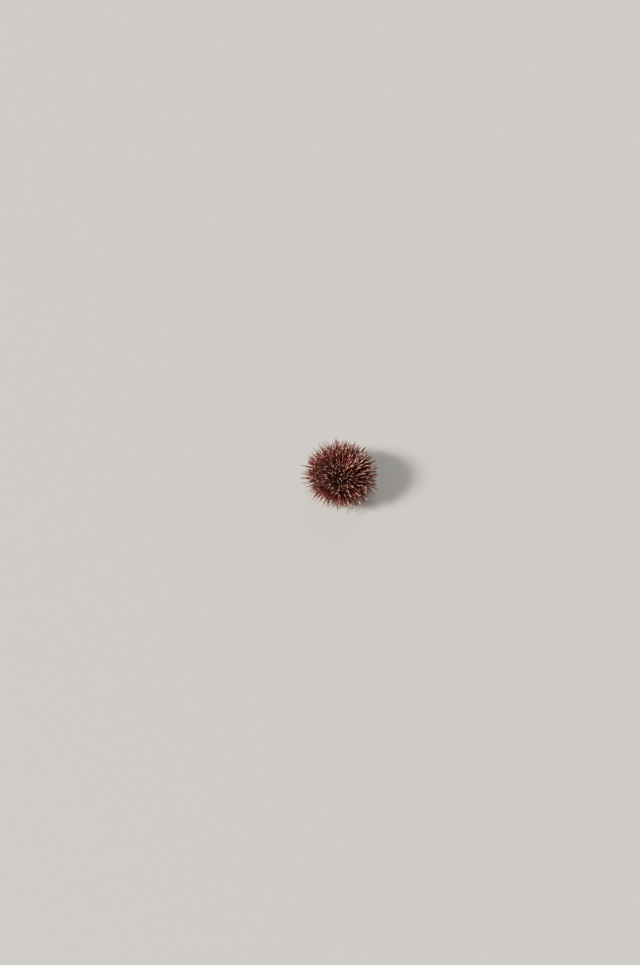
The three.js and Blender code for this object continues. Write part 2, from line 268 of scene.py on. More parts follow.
# Outlines of the shafts from root to tip: heights and radii as shares of a shaft's own.
LARGE_SPINE_RINGS = [
    (-0.05, 0.8),
    (0.012, 0.92),
    (0.035, 1.22),
    (0.062, 0.96),
    (0.4, 0.97),
    (0.8, 0.8),
    (0.955, 0.6),
    (0.991, 0.36),
]
SMALL_SPINE_RINGS = [(-0.06, 0.9), (0.05, 1.2), (0.1, 0.95), (0.6, 0.8), (0.94, 0.5), (0.99, 0.28)]
MILIARY_RINGS = [(-0.08, 0.9), (0.1, 0.95), (0.7, 0.75), (0.93, 0.85), (1.0, 0.4)]
PINCER_RINGS = [(-0.05, 0.7), (0.1, 0.6), (0.66, 0.5), (0.74, 1.5), (0.86, 1.9), (0.97, 0.7)]
TUBE_FOOT_RINGS = [
    (-0.05, 1.0), (0.15, 0.9), (0.4, 0.75), (0.65, 0.68), (0.88, 0.72),
    (0.945, 1.1), (0.968, 1.85), (0.984, 1.75), (0.97, 1.0),
]
BUCCAL_FOOT_RINGS = [
    (-0.15, 1.3), (0.05, 1.15), (0.3, 0.9), (0.62, 0.85), (0.78, 1.2),
    (0.85, 1.85), (0.94, 1.9), (0.96, 1.6), (0.9, 0.8),
]
GILL_RINGS = [(-0.1, 0.24), (0.3, 0.2), (0.7, 0.22), (0.95, 0.14)]
TIP_RISE = 0.004
WAVE_TURN = 1.5 * math.pi

# How the coat's bake map lies on an unwrap of the skin, and what every coat is given.
UNWRAP_RADIUS = 0.48
BAKE_PATCH = 0.003
VARIANTS = 3
COAT_SOCKETS = {"Shapes": "Collection", "Seed": "Int", "Material": "Material"}

# Real sizes of the patterns in the surfaces, and how many ribs or rings one shaft shows.
# The grain of the spines and of the jaws is finer on the animal, and is drawn coarser to show.
SPINE_MOTTLE = 3 * MM
SPINE_GRAIN = 0.35 * MM
SPINE_RIBS = 16
SKIN_MOTTLE = 4 * MM
SKIN_GRANULE = 0.6 * MM
FOOT_MOTTLE = 0.4 * MM
FOOT_MUSCLE_RINGS = 64
JAW_GRAIN = 0.4 * MM
PLATE_GRANULE = 0.45 * MM
PLATE_MOTTLE = 2 * MM
MOUTH_FLECK = 0.9 * MM
MOUTH_MOTTLE = 1.6 * MM
TOOTH_WAVER = 1.5 * MM
GROWTH_LINE = 0.25 * MM
BOARD_TOOTH = 1.5 * MM

# The stage: the floor's half width in metres, and the lamps.
FLOOR_REACH = 12.0
LAMPS = (
    {"name": "key", "place": (-2.2, -0.4, 1.4), "spread_deg": 13, "strength": 9.5, "colour": "#fff4e6"},
    {"name": "fill", "place": (2.0, -2.0, 1.8), "spread_deg": 60, "strength": 0.35, "colour": "#e8f0ee"},
    {"name": "rim", "place": (0.6, 2.8, 1.8), "spread_deg": 35, "strength": 1.2, "colour": "#f2f4fa"},
)

# The photograph's frame, its lens, and where the animal lies in it.
PHOTO_WIDTH, PHOTO_HEIGHT = 640, 965
FOCAL_PIXELS = 1312
LENS_MM = 50
URCHIN_AT = (339, 473)
URCHIN_PIXELS = 81
VIEW_ELEVATION = math.radians(58)


def linear(hex_colour):
    """A colour written as sRGB hex, as linear red, green, blue and alpha."""
    channels = [int(hex_colour[i : i + 2], 16) / 255 for i in (1, 3, 5)]
    bright = [c / 12.92 if c <= 0.04045 else ((c + 0.055) / 1.055) ** 2.4 for c in channels]
    return (*bright, 1.0)


def per(size):
    """A texture's scale for features of a real size in metres."""
    return 1 / size


def colour_property(name, description, hex_colour):
    """A colour that a user may change."""
    default = linear(hex_colour)
    return bpy.props.FloatVectorProperty(
        name=name, description=description, subtype="COLOR", size=4, min=0, max=1, default=default
    )


def length_property(name, description, default):
    """A length that a user may change."""
    return bpy.props.FloatProperty(
        name=name, description=description, default=default, min=0, unit="LENGTH", precision=5
    )


class UrchinSizes(bpy.types.PropertyGroup):
    """Sizes and spacings of the coat."""

    shaft_share: bpy.props.FloatProperty(
        name="Shaft thickness",
        description="Thickness of a large spine as a share of its solid's",
        subtype="FACTOR",
        default=0.76,
        min=0.5,
        max=1,
    )
    secondary_spacing: length_property(
        "Secondary spacing", "Least distance between secondary spines", 1.9 * MM
    )
    secondary_radius: length_property(
        "Secondary radius", "Radius of a secondary spine at its root", 0.43 * MM
    )
    miliary_spacing: length_property(
        "Miliary spacing", "Least distance between the smallest spines", 1.1 * MM
    )
    miliary_radius: length_property(
        "Miliary radius", "Radius of one of the smallest spines at its root", 0.23 * MM
    )
    pedicellaria_spacing: length_property(
        "Pedicellaria spacing", "Least distance between the small pincers", 3.1 * MM
    )
    foot_radius: length_property("Tube foot radius", "Radius of a tube foot", 0.23 * MM)
    foot_spacing: length_property(
        "Tube foot spacing", "Distance between tube feet along their band", 2.1 * MM
    )


class UrchinColours(bpy.types.PropertyGroup):
    """Colours of the living animal."""

    # The spine root colour is partly the spines' own dark colour and partly painted shade deep among the
    # spines.
    spine_root: colour_property("Spine root", "Spines close to the skin", "#301218")
    spine_shaft: colour_property("Spine shaft", "Spines along most of their length", "#80372e")
    # The tip colour is partly wear and partly a painted glint on the wet tips.
    spine_tip_wear_and_glint: colour_property("Spine tip", "Worn tips of the spines", "#c69580")
    spine_purple: colour_property("Purple spines", "The more purple spines", "#592342")
    skin: colour_property("Skin", "Skin of the test", "#33151a")
    skin_light: colour_property("Pale skin", "Bosses under the spines", "#6f3238")
    foot: colour_property("Tube foot", "Stalks of the tube feet", "#5b2a2f")
    sucker: colour_property("Sucker", "Discs of the tube feet", "#9f7466")
    plate: colour_property("Apical plates", "Plates at the top", "#4a2229")
    mouth: colour_property("Mouth skin", "Skin round the mouth", "#7a4443")
    tooth: colour_property("Teeth", "Ivory of the teeth", "#e6dcc2")
    floor: colour_property("Floor", "Floor of the stage", "#d8d5ce")


class Chance:
    """Even random numbers from 0 to 1, the same on every run."""

    def __init__(self, state):
        self.state = state

    def draw(self):
        """The next number."""
        self.state = (self.state * 1664525 + 1013904223) % 2**32
        return self.state / 2**32

    def spread(self):
        """The next number, from -1 to 1."""
        return 2 * self.draw() - 1

    def shake(self):
        """A vector of the next three numbers, each from -1 to 1."""
        return Vector([self.spread() for _ in range(3)])


def nearest(number):
    """The nearest whole number, halves upwards."""
    return math.floor(number + 0.5)


def outline_point(angle):
    """Radius and height of the test's outline, at an angle above the ambitus."""
    above = angle >= 0
    power = 2 / (ABORAL_FULLNESS if above else ORAL_FULLNESS)
    radius = TEST_RADIUS * max(0.0, math.cos(angle)) ** power
    height = abs(math.sin(angle)) ** power
    hollow = max(0.0, 1 - radius / MOUTH_RISE_REACH)
    rise = ABORAL_HEIGHT * height if above else MOUTH_RISE * hollow**2 - ORAL_HEIGHT * height
    return radius, AMBITUS_Z + rise


OUTLINE = np.array(
    [outline_point(math.pi * (0.5 - i / MERIDIAN_SAMPLES)) for i in range(MERIDIAN_SAMPLES + 1)]
)
ALONG = np.concatenate([[0], np.cumsum(np.linalg.norm(np.diff(OUTLINE, axis=0), axis=1))])
MERIDIAN_LENGTH = ALONG[-1]


def meridian(along):
    """Radius, height and outward normal of the test at distances from its top."""
    along = np.asarray(along, float)
    step = np.clip(np.searchsorted(ALONG, along), 1, MERIDIAN_SAMPLES)
    start, end = OUTLINE[step - 1], OUTLINE[step]
    share = (along - ALONG[step - 1]) / (ALONG[step] - ALONG[step - 1])
    point = start + (end - start) * share[..., None]
    run = (end - start) / np.linalg.norm(end - start, axis=-1, keepdims=True)
    return point[..., 0], point[..., 1], np.stack([-run[..., 1], run[..., 0]], -1)


def along_at(radius, below):
    """Distance from the top at which the test reaches a radius, above or below the ambitus."""
    wide = np.flatnonzero(OUTLINE[:, 0] >= radius)
    return ALONG[wide[-1] if below else wide[0]]


APICAL_EDGE = along_at(APICAL_RADIUS, False)
PERISTOME_EDGE = along_at(PERISTOME_RADIUS, True)


def body_axis():
    """The middle of the animal on the floor, which is the middle of its mouth."""
    low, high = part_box("peristome")
    return Vector(((low.x + high.x) / 2, (low.y + high.y) / 2, 0))


AXIS = body_axis()


def outwards(turn, radius, z):
    """A point at a turn round the axis of the test, a radius and a height."""
    return Vector((math.cos(turn), math.sin(turn), 0)) * float(radius) + Vector((0, 0, float(z)))


def spine_length(share):
    """Length of a large spine at a share of the way from the top to the mouth."""
    if share < LONGEST_AT:
        up = (LONGEST_AT - share) / LONGEST_AT
        return LONGEST_SPINE - (LONGEST_SPINE - APICAL_SPINE) * up**UPPER_FALL
    down = (share - LONGEST_AT) / (1 - LONGEST_AT)
    return LONGEST_SPINE - (LONGEST_SPINE - ORAL_SPINE) * min(1, LOWER_STEEPNESS * down) ** LOWER_FALL


def held_in_ray(point, half, radius):
    """Keeps a point of a spine inside its ray and outside the apical disc's spines."""
    room = radius + JOIN_GAP / 2
    rise = max(0, point.z - float(meridian(APICAL_EDGE)[1]))
    apical = APICAL_RADIUS + rise * math.tan(APICAL_CONE) + room
    if point.z > AMBITUS_Z:
        point.x = max(point.x, apical)
    side = point.x * math.tan(half) - room / math.cos(half)
    point.y = min(max(point.y, -side), side)
    return point


def kept_off_floor(aim, z, length, gap):
    """An aim levelled until a spine of that length ends at a gap above the floor."""
    drop = min(STEEPEST_DROP, (z - gap) / length)
    reach = math.sqrt(1 - drop * drop) / math.hypot(aim.x, aim.y)
    return Vector((aim.x * reach, aim.y * reach, -drop))


def large_spine(chance, along, across, half, size, rank):
    """One large spine: its root, tip, thickness and place along the test."""
    radius, z, normal = meridian(along)
    turn = math.asin(across / radius)
    base = outwards(turn, radius, z)
    face = outwards(turn, *normal)
    radial = Vector((base.x, base.y, float(z) - AMBITUS_Z)).normalized()
    aim = face.lerp(radial, FAN_OUT).normalized()
    aim = (aim + chance.shake() * TILT_JITTER).normalized()
    longest = size * rank["length"] * spine_length(along / MERIDIAN_LENGTH)
    length = longest * (1 + LENGTH_JITTER * chance.spread())
    thickness = PRIMARY_RADIUS * size * rank["thickness"]
    wants_floor = chance.draw() < FOOT_SHARE
    if base.z + aim.z * length < FLOOR_GAP:
        is_foot = wants_floor and length > base.z
        aim = kept_off_floor(aim, base.z, length, 0 if is_foot else HOVER)
        if is_foot:
            length = base.z / -aim.z
    root = held_in_ray(base - aim * ROOT_DEPTH, half, thickness)
    tip = held_in_ray(base + aim * length, half, thickness)
    return {"root": root, "tip": tip, "thickness": thickness, "along": along}


def ray_spines(chance, width_deg, size):
    """The large spines of one ray in its own frame, X outwards along its middle."""
    half = math.radians(width_deg / 2)
    first = APICAL_EDGE + POLE_MARGIN
    last = PERISTOME_EDGE - POLE_MARGIN
    rows = nearest((last - first) / ROW_PITCH)
    spines = []
    for row in range(rows + 1):
        row_along = first + (last - first) * row / rows
        width = 2 * float(meridian(row_along)[0]) * math.sin(half)
        count = max(1, nearest(width / SPINE_PITCH))
        pitch = width / count
        stagger = 0 if count == 1 else (ROW_STAGGER if row % 2 else -ROW_STAGGER)
        for i in range(count):
            jitter = 0.5 * PLACE_JITTER * chance.spread()
            across = (i + 0.5 - count / 2 + stagger + jitter) * pitch
            is_primary = abs(abs(across) - width / 4) < pitch / 2
            rank = SPINE_RANKS[0 if is_primary else 1 + (row + i) % 2]
            shift = PLACE_JITTER * ROW_PITCH * chance.spread()
            along = row_along + (shift if row % rows else 0)
            spines.append(large_spine(chance, along, across, half, size, rank))
    return spines


def apical_spines(chance):
    """The small spines of the apical disc, in rings."""
    spines = []
    for ring in APICAL_RINGS:
        along = along_at(ring["radius"], False)
        z = meridian(along)[1]
        lean = math.tan(APICAL_CONE) * ring["radius"] / APICAL_RADIUS
        for i in range(ring["count"]):
            step = (i + RING_JITTER * chance.spread()) * 360 / ring["count"]
            place = math.radians(ring["turn_deg"] + step)
            base = outwards(place, ring["radius"], z)
            aim = outwards(place, lean, 1).normalized()
            length = ring["length"] * (1 + LENGTH_JITTER * chance.spread())
            spine = {"root": base - aim * ROOT_DEPTH, "tip": base + aim * length}
            spines.append({**spine, "thickness": ring["thickness"], "along": along})
    return spines


def large_spines():
    """Every large spine of the animal, in the order that the solids drew them."""
    chance = Chance(FIRST_DRAW)
    spines = []
    for i in range(RAYS):
        for turn, width, size in (
            (i * RAY_TURN, AMBULACRUM_DEG, AMBULACRAL_SIZE),
            ((i + 0.5) * RAY_TURN, INTERAMBULACRUM_DEG, 1),
        ):
            placed = Matrix.Rotation(turn, 4, "Z")
            for spine in ray_spines(chance, width, size):
                spine["root"] = placed @ spine["root"]
                spine["tip"] = placed @ spine["tip"]
                spines.append(spine)
    spines += apical_spines(chance)
    for spine in spines:
        spine["root"] = spine["root"] + AXIS
        spine["tip"] = spine["tip"] + AXIS
        spine["aim"] = (spine["tip"] - spine["root"]).normalized()
        spine["base"] = spine["root"] + spine["aim"] * ROOT_DEPTH
    return spines


LARGE_SPINES = large_spines()


def unwrapped(place, along):
    """Where a point of the test lies on the bake map, the top in the middle and the mouth at the rim."""
    angle = math.atan2(place[1] - AXIS.y, place[0] - AXIS.x)
    reach = UNWRAP_RADIUS * along / MERIDIAN_LENGTH
    return (0.5 + reach * math.cos(angle), 0.5 + reach * math.sin(angle), 0)


def spot_at(base, aim, size, along):
    """What a shape needs to stand on the test: its root, aim, size and place on the bake map."""
    return {"base": base, "aim": aim, "size": size, "unwrap": unwrapped(base, along)}


def add_node(tree, kind, feeds=None, stops=None, **settings):
    """Adds one node with its settings and with what feeds its inputs.

    feeds maps an input's name or number to a value, another node or one of its outputs.
    """
    made = tree.nodes.new(kind)
    for name, value in settings.items():
        setattr(made, name, value)
    for key, value in (feeds or {}).items():
        if isinstance(key, str):
            socket = next(s for s in made.inputs if s.name == key and s.enabled)
        else:
            socket = made.inputs[key]
        if isinstance(value, bpy.types.Node):
            value = next(s for s in value.outputs if s.enabled)
        if isinstance(value, bpy.types.NodeSocket):
            tree.links.new(value, socket)
        else:
            socket.default_value = value
    for i, (position, colour) in enumerate(stops or []):
        ramp = made.color_ramp.elements
        stop = ramp[i] if i < len(ramp) else ramp.new(position)
        stop.position = position
        stop.color = colour
    return made


def new_tree(name, sockets):
    """An empty tree of geometry nodes with the named inputs, a way to add nodes, and its inputs."""
    tree = bpy.data.node_groups.new(name, "GeometryNodeTree")
    tree.interface.new_socket("Geometry", in_out="INPUT", socket_type="NodeSocketGeometry")
    tree.interface.new_socket("Geometry", in_out="OUTPUT", socket_type="NodeSocketGeometry")
    for label, kind in sockets.items():
        tree.interface.new_socket(label, in_out="INPUT", socket_type=f"NodeSocket{kind}")
    add = partial(add_node, tree)
    return tree, add, add("NodeGroupInput").outputs


def finish_coat(add, given, points):
    """Stands one of the shapes on each point, joins them and gives them a bake map and material."""
    tone, pick, angle = (
        add("FunctionNodeRandomValue", {"Min": low, "Max": high, "Seed": given["Seed"]}, data_type=kind)
        for kind, low, high in (("FLOAT", 0.0, 1.0), ("INT", 0, VARIANTS - 1), ("FLOAT", 0.0, math.tau))
    )
    aim, size, shaft, root = (
        add("GeometryNodeInputNamedAttribute", {"Name": name}, data_type="FLOAT_VECTOR")
        for name in ("aim", "size", "Shaft", "unwrap")
    )
    toned = add("GeometryNodeStoreNamedAttribute", {"Geometry": points, "Name": "tone", "Value": tone})
    spin = add("FunctionNodeAxisAngleToRotation", {"Axis": (0, 0, 1), "Angle": angle})
    turn = add("FunctionNodeAlignRotationToVector", {"Rotation": spin, "Vector": aim}, axis="Z")
    shapes = add(
        "GeometryNodeCollectionInfo",
        {"Collection": given["Shapes"], "Separate Children": True, "Reset Children": True},
    )
    stood = add(
        "GeometryNodeInstanceOnPoints",
        {
            "Points": toned,
            "Instance": shapes,
            "Pick Instance": True,
            "Instance Index": pick,
            "Rotation": turn,
            "Scale": size,
        },
    )
    joined = add("GeometryNodeRealizeInstances", {"Geometry": stood})
    centred = add("ShaderNodeVectorMath", {0: shaft, 1: (0.5, 0.5, 0)}, operation="SUBTRACT")
    patch = add(
        "ShaderNodeVectorMath",
        {0: centred, 1: (BAKE_PATCH, BAKE_PATCH, 0), 2: root},
        operation="MULTIPLY_ADD",
    )
    mapped = add(
        "GeometryNodeStoreNamedAttribute",
        {"Geometry": joined, "Name": "OFBake", "Value": patch},
        data_type="FLOAT2",
        domain="CORNER",
    )
    painted = add("GeometryNodeSetMaterial", {"Geometry": mapped, "Material": given["Material"]})
    add("NodeGroupOutput", {"Geometry": painted})


def scattered_tree():
    """Shapes scattered evenly over a bed, clear of what is rooted there already."""
    sizes = ("Clearance", "Spacing", "Radius", "Floor gap", "Shortest", "Longest", "Lean")
    sockets = {**COAT_SOCKETS, "Taken": "Object", **dict.fromkeys(sizes, "Float")}
    tree, add, given = new_tree("Coat scattered on a bed", sockets)
    seed = given["Seed"]
    cover, reach = (
        add("GeometryNodeInputNamedAttribute", {"Name": name}) for name in ("cover", "reach")
    )
    strewn = add(
        "GeometryNodeDistributePointsOnFaces",
        {
            "Mesh": given["Geometry"],
            "Distance Min": given["Spacing"],
            "Density Max": BED_DENSITY,
            "Density Factor": cover,
            "Seed": seed,
        },
        distribute_method="POISSON",
    ).outputs["Points"]
    taken = add("GeometryNodeObjectInfo", {"Object": given["Taken"]}).outputs["Geometry"]
    near = add("GeometryNodeProximity", {0: taken}, target_element="POINTS").outputs["Distance"]
    crowded = add("FunctionNodeCompare", {"A": near, "B": given["Clearance"]}, operation="LESS_THAN")
    coat = add("GeometryNodeDeleteGeometry", {"Geometry": strewn, "Selection": crowded})
    lie = add("GeometryNodeInputNamedAttribute", {"Name": "aim"}, data_type="FLOAT_VECTOR")
    shake = add(
        "FunctionNodeRandomValue",
        {"Min": (-1, -1, -1), "Max": (1, 1, 1), "Seed": seed},
        data_type="FLOAT_VECTOR",
    )
    leaning = add("ShaderNodeVectorMath", {0: shake, "Scale": given["Lean"]}, operation="SCALE")
    shaken = add("ShaderNodeVectorMath", {0: lie, 1: leaning}, operation="ADD")
    aim = add("ShaderNodeVectorMath", {0: shaken}, operation="NORMALIZE")
    # A shape is as long as it wants to be, or ends where it would come too near the floor.
    share = add(
        "FunctionNodeRandomValue", {"Min": given["Shortest"], "Max": given["Longest"], "Seed": seed}
    )
    wanted = add("ShaderNodeMath", {0: reach, 1: share}, operation="MULTIPLY")
    aim_z = add("ShaderNodeSeparateXYZ", {0: aim}).outputs["Z"]
    down = add("ShaderNodeMath", {0: aim_z, 1: -1.0}, operation="MULTIPLY")
    falling = add("ShaderNodeMath", {0: down, 1: LEAST_FALL}, operation="MAXIMUM")
    place = add("GeometryNodeInputPosition")
    height = add("ShaderNodeSeparateXYZ", {0: place}).outputs["Z"]
    room = add("ShaderNodeMath", {0: height, 1: given["Floor gap"]}, operation="SUBTRACT")
    limit = add("ShaderNodeMath", {0: room, 1: falling}, operation="DIVIDE")
    length = add("ShaderNodeMath", {0: wanted, 1: limit}, operation="MINIMUM")
    thin, thick = STOUTNESS
    stoutness = add("FunctionNodeRandomValue", {"Min": thin, "Max": thick, "Seed": seed})
    radius = add("ShaderNodeMath", {0: given["Radius"], 1: stoutness}, operation="MULTIPLY")
    size = add("ShaderNodeCombineXYZ", {0: radius, 1: radius, 2: length})
    for name, value in (("aim", aim), ("size", size)):
        coat = add(
            "GeometryNodeStoreNamedAttribute",
            {"Geometry": coat, "Name": name, "Value": value},
            data_type="FLOAT_VECTOR",
        )
    finish_coat(add, given, coat)
    return tree


def shaft_parts(rings, sides, bend=0.0, wave=0.0, lobes=0.0, lobed_from=0.0):
    """Points, faces and map of one closed shaft along Z, a unit long and of unit radius.

    rings are heights and radii. The shaft bends sideways by bend and wave, in radii, and its
    section is lobed above a height.
    """

    def sway(height):
        """How far the shaft stands off its straight line at a height."""
        return bend * height**2 + wave * math.sin(WAVE_TURN * height)

    points, faces, uvs = [], [], []
    for height, radius in rings:
        for side in range(sides):
            angle = math.tau * side / sides
            reach = radius * (1 + (lobes if side % 2 else -lobes) * (height >= lobed_from))
            points.append((reach * math.cos(angle) + sway(height), reach * math.sin(angle), height))
    last = (len(rings) - 1) * sides
    bottom, top = rings[0][0], rings[-1][0]
    points.append((0, 0, bottom))
    points.append((sway(top), 0, top + TIP_RISE))
    for ring in range(len(rings) - 1):
        low, high = max(0, rings[ring][0]), max(0, rings[ring + 1][0])
        a = ring * sides
        b = a + sides
        for side in range(sides):
            after = (side + 1) % sides
            left, right = side / sides, (side + 1) / sides
            faces.append((a + side, a + after, b + after, b + side))
            uvs.append([(left, low), (right, low), (right, high), (left, high)])
    for side in range(sides):
        after = (side + 1) % sides
        left, right = side / sides, (side + 1) / sides
        faces.append((after, side, len(points) - 2))
        uvs.append([(right, 0), (left, 0), (left, 0)])
        faces.append((last + side, last + after, len(points) - 1))
        uvs.append([(left, 1), (right, 1), (left, 1)])
    return points, faces, uvs


def swollen(rings, swell):
    """A spine's rings with its shaft swollen a little, for variety among like shapes."""
    return [(h, r * (1 + swell * math.sin(math.pi * h))) for h, r in rings]


def shape_object(name, parts):
    """A smooth object from one or more sets of points, faces and map."""
    points, faces, uvs = [], [], []
    for part_points, part_faces, part_uvs in parts:
        start = len(points)
        points += part_points
        faces += [tuple(start + i for i in face) for face in part_faces]
        uvs += part_uvs
    mesh = bpy.data.meshes.new(name)
    mesh.from_pydata(points, [], faces)
    layer = mesh.uv_layers.new(name="Shaft")
    layer.data.foreach_set("uv", np.array([c for face in uvs for c in face]).ravel())
    mesh.polygons.foreach_set("use_smooth", [True] * len(faces))
    return bpy.data.objects.new(name, mesh)


def grown(name, base, tree, shapes, values):
    """Runs a tree on a base mesh with a few like shapes and keeps the result as a plain piece."""
    shelf = bpy.data.collections.new(name)
    for i, parts in enumerate(shapes):
        shelf.objects.link(shape_object(f"{name}_{i + 1}", parts))
    piece = bpy.data.objects.new(name, base)
    bpy.context.scene.collection.objects.link(piece)
    growth = piece.modifiers.new(name, "NODES")
    growth.node_group = tree
    sockets = {item.name: item for item in tree.interface.items_tree if item.in_out == "INPUT"}
    for label, value in {**values, "Shapes": shelf}.items():
        growth[sockets[label].identifier] = value
    graph = bpy.context.evaluated_depsgraph_get()
    graph.update()
    mesh = bpy.data.meshes.new_from_object(
        piece.evaluated_get(graph), preserve_all_data_layers=True, depsgraph=graph
    )
    piece.modifiers.clear()
    piece.data = mesh
    for helper in ("aim", "size", "unwrap"):
        if helper in mesh.attributes:
            mesh.attributes.remove(mesh.attributes[helper])
    if not len(mesh.polygons):
        raise RuntimeError(f"{name} grew nothing")
    for item in list(shelf.objects):
        bpy.data.objects.remove(item)
    bpy.data.collections.remove(shelf)
    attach(piece, "root")


def sheet_mesh(name, places, looped=False):
    """A closed mesh from rows of points round the body's axis.

    The first and last rows close at poles, or the two meet where the rows are looped.
    """
    rows, sides = places.shape[:2]
    after = np.roll(np.arange(sides), -1)
    index = np.arange(rows * sides).reshape(rows, sides)
    points = places.reshape(-1, 3)
    pairs = [(i, (i + 1) % rows) for i in range(rows if looped else rows - 1)]
    faces = []
    for a, b in pairs:
        quad = np.stack([index[a], index[b], index[b][after], index[a][after]], 1)
        faces += quad.tolist()
    if not looped:
        poles = np.stack([places[0].mean(0), places[-1].mean(0)])
        points = np.concatenate([points, poles])
        top, bottom = rows * sides, rows * sides + 1
        faces += [(top, a, b) for a, b in zip(index[0], index[0][after])]
        faces += [(bottom, b, a) for a, b in zip(index[-1], index[-1][after])]
    mesh = bpy.data.meshes.new(name)
    mesh.from_pydata(points.tolist(), [], faces)
    work = bmesh.new()
    work.from_mesh(mesh)
    bmesh.ops.recalc_face_normals(work, faces=work.faces)
    work.to_mesh(mesh)
    work.free()
    mesh.polygons.foreach_set("use_smooth", [True] * len(mesh.polygons))
    return mesh


def give_attribute(mesh, name, values):
    """Stores a number or a vector for each of a mesh's points, with poles at the end."""
    values = np.asarray(values, np.float32)
    is_vector = values.ndim > 1
    attribute = mesh.attributes.new(name, "FLOAT_VECTOR" if is_vector else "FLOAT", "POINT")
    missing = len(mesh.vertices) - len(values)
    if missing:
        ends = [values[0], values[-1]][:missing]
        values = np.concatenate([values, np.array(ends, np.float32)])
    attribute.data.foreach_set("vector" if is_vector else "value", values.ravel())


def rooted(name, spots, shapes, material, seed):
    """Grows a few like shapes on given spots and keeps them as one piece."""
    mesh = bpy.data.meshes.new("roots")
    mesh.from_pydata([spot["base"] for spot in spots], [], [])
    for key in ("aim", "size", "unwrap"):
        give_attribute(mesh, key, [tuple(spot[key]) for spot in spots])
    tree, add, given = new_tree("Coat on given roots", COAT_SOCKETS)
    finish_coat(add, given, given["Geometry"])
    grown(name, mesh, tree, shapes, {"Seed": seed, "Material": material})


def keep_piece(name, mesh, material, slot, *replaced):
    """Puts a finished mesh on the body as a piece, in place of the named solids."""
    piece = bpy.data.objects.new(name, mesh)
    bpy.context.scene.collection.objects.link(piece)
    mesh.materials.append(material)
    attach(piece, "root")
    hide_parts(*replaced)


def test_places(rows, sides):
    """Rows of points over the whole test, with their normals, turns and distances from the top."""
    along = np.linspace(0, MERIDIAN_LENGTH, rows + 2)[1:-1]
    turn = np.arange(sides) * math.tau / sides
    radius, z, normal = meridian(along)
    out = np.stack([np.cos(turn), np.sin(turn), np.zeros(sides)], -1)
    upright = np.array([0, 0, 1.0])
    places = radius[:, None, None] * out + z[:, None, None] * upright + np.array(AXIS)
    normals = normal[:, None, :1] * out + normal[:, None, 1:] * upright
    grid = np.broadcast_to(along[:, None], (rows, sides))
    return places, normals, np.broadcast_to(turn, (rows, sides)), grid


def unwrap_of(places, along):
    """The bake map's place of each of many points."""
    flat = places.reshape(-1, 3)
    return [unwrapped(point, a) for point, a in zip(flat, along.ravel())]


def scatter_bed():
    """A coarse copy of the test whose points say how long, which way and how dense the coat is."""
    places, normals, _, along = test_places(BED_ROWS, BED_SIDES)
    places = places - normals * BED_DEPTH
    along = along.ravel()
    reach = np.array([spine_length(share) for share in along / MERIDIAN_LENGTH])
    aims = []
    for point, normal, length in zip(places.reshape(-1, 3), normals.reshape(-1, 3), reach):
        away = Vector(point) - AXIS - Vector((0, 0, AMBITUS_Z))
        aim = Vector(normal).lerp(away.normalized(), FAN_OUT).normalized()
        if point[2] + aim.z * USUAL_SHARE * length < FLOOR_GAP:
            aim = kept_off_floor(aim, point[2], USUAL_SHARE * length, HOVER)
        aims.append(tuple(aim))
    cover = np.where(along < APICAL_EDGE, APICAL_COVER, 1.0)
    cover[along > PERISTOME_EDGE - BARE_RIM] = 0
    mesh = sheet_mesh("scatter_bed", places)
    give_attribute(mesh, "reach", reach)
    give_attribute(mesh, "aim", aims)
    give_attribute(mesh, "cover", cover)
    give_attribute(mesh, "unwrap", unwrap_of(places, along))
    return mesh


def nearest_distances(points, targets):
    """How far each point lies from the nearest target."""
    lookup = KDTree(len(targets))
    for i, target in enumerate(targets):
        lookup.insert(target, i)
    lookup.balance()
    return np.array([lookup.find(point)[2] for point in points])


def hill(distance, reach):
    """A smooth hill, 1 in its middle and next to nothing from twice its reach."""
    return np.exp(-((distance / reach) ** 2))


def foot_spots(sizes):
    """Roots of the tube feet: two columns on each side of every ambulacrum."""
    chance = Chance(FOOT_DRAW)
    spots = []
    rows = int((PERISTOME_EDGE - APICAL_EDGE - 2 * POLE_MARGIN) / sizes.foot_spacing)
    for ray, row, column in product(range(RAYS), range(rows + 1), FOOT_COLUMNS):
        shift = FOOT_PLACE_JITTER * chance.spread() + (0.5 if abs(column) > OUTER_COLUMN else 0)
        along = APICAL_EDGE + POLE_MARGIN + (row + shift) * sizes.foot_spacing
        turn = ray * RAY_TURN + AMBULACRUM_EDGE * column
        stands = chance.draw() < FOOT_STANDS
        length_share = FOOT_SHORTEST + FOOT_LENGTH_SPREAD * chance.draw()
        length = spine_length(along / MERIDIAN_LENGTH) * length_share
        shake = chance.shake() * FOOT_TILT_JITTER
        if not stands or along > PERISTOME_EDGE - FOOT_RIM_MARGIN:
            continue
        wide, z, normal = meridian(along)
        base = outwards(turn, wide, z) + AXIS
        aim = (outwards(turn, *normal) + shake).normalized()
        if base.z + aim.z * length < FOOT_HOVER:
            aim = kept_off_floor(aim, base.z, length, FOOT_HOVER)
        spots.append(spot_at(base, aim, (sizes.foot_radius, sizes.foot_radius, length), along))
    return spots


def paired_spots(at, half_turn, lean, size):
    """Ten spots on the mouth's skin, a pair for each ambulacrum, aimed down and outwards."""
    spots = []
    for i in range(2 * RAYS):
        turn = (i // 2) * RAY_TURN + (half_turn if i % 2 else -half_turn)
        base = outwards(turn, at, peristome_height(at)) + AXIS
        aim = outwards(turn, lean, -1).normalized()
        spots.append(spot_at(base, aim, size, MERIDIAN_LENGTH - at))
    return spots


def new_material(name):
    """A material with an empty tree, and a way to add nodes to it."""
    material = bpy.data.materials.new(name)
    material.use_nodes = True
    material.node_tree.nodes.clear()
    return material, partial(add_node, material.node_tree)


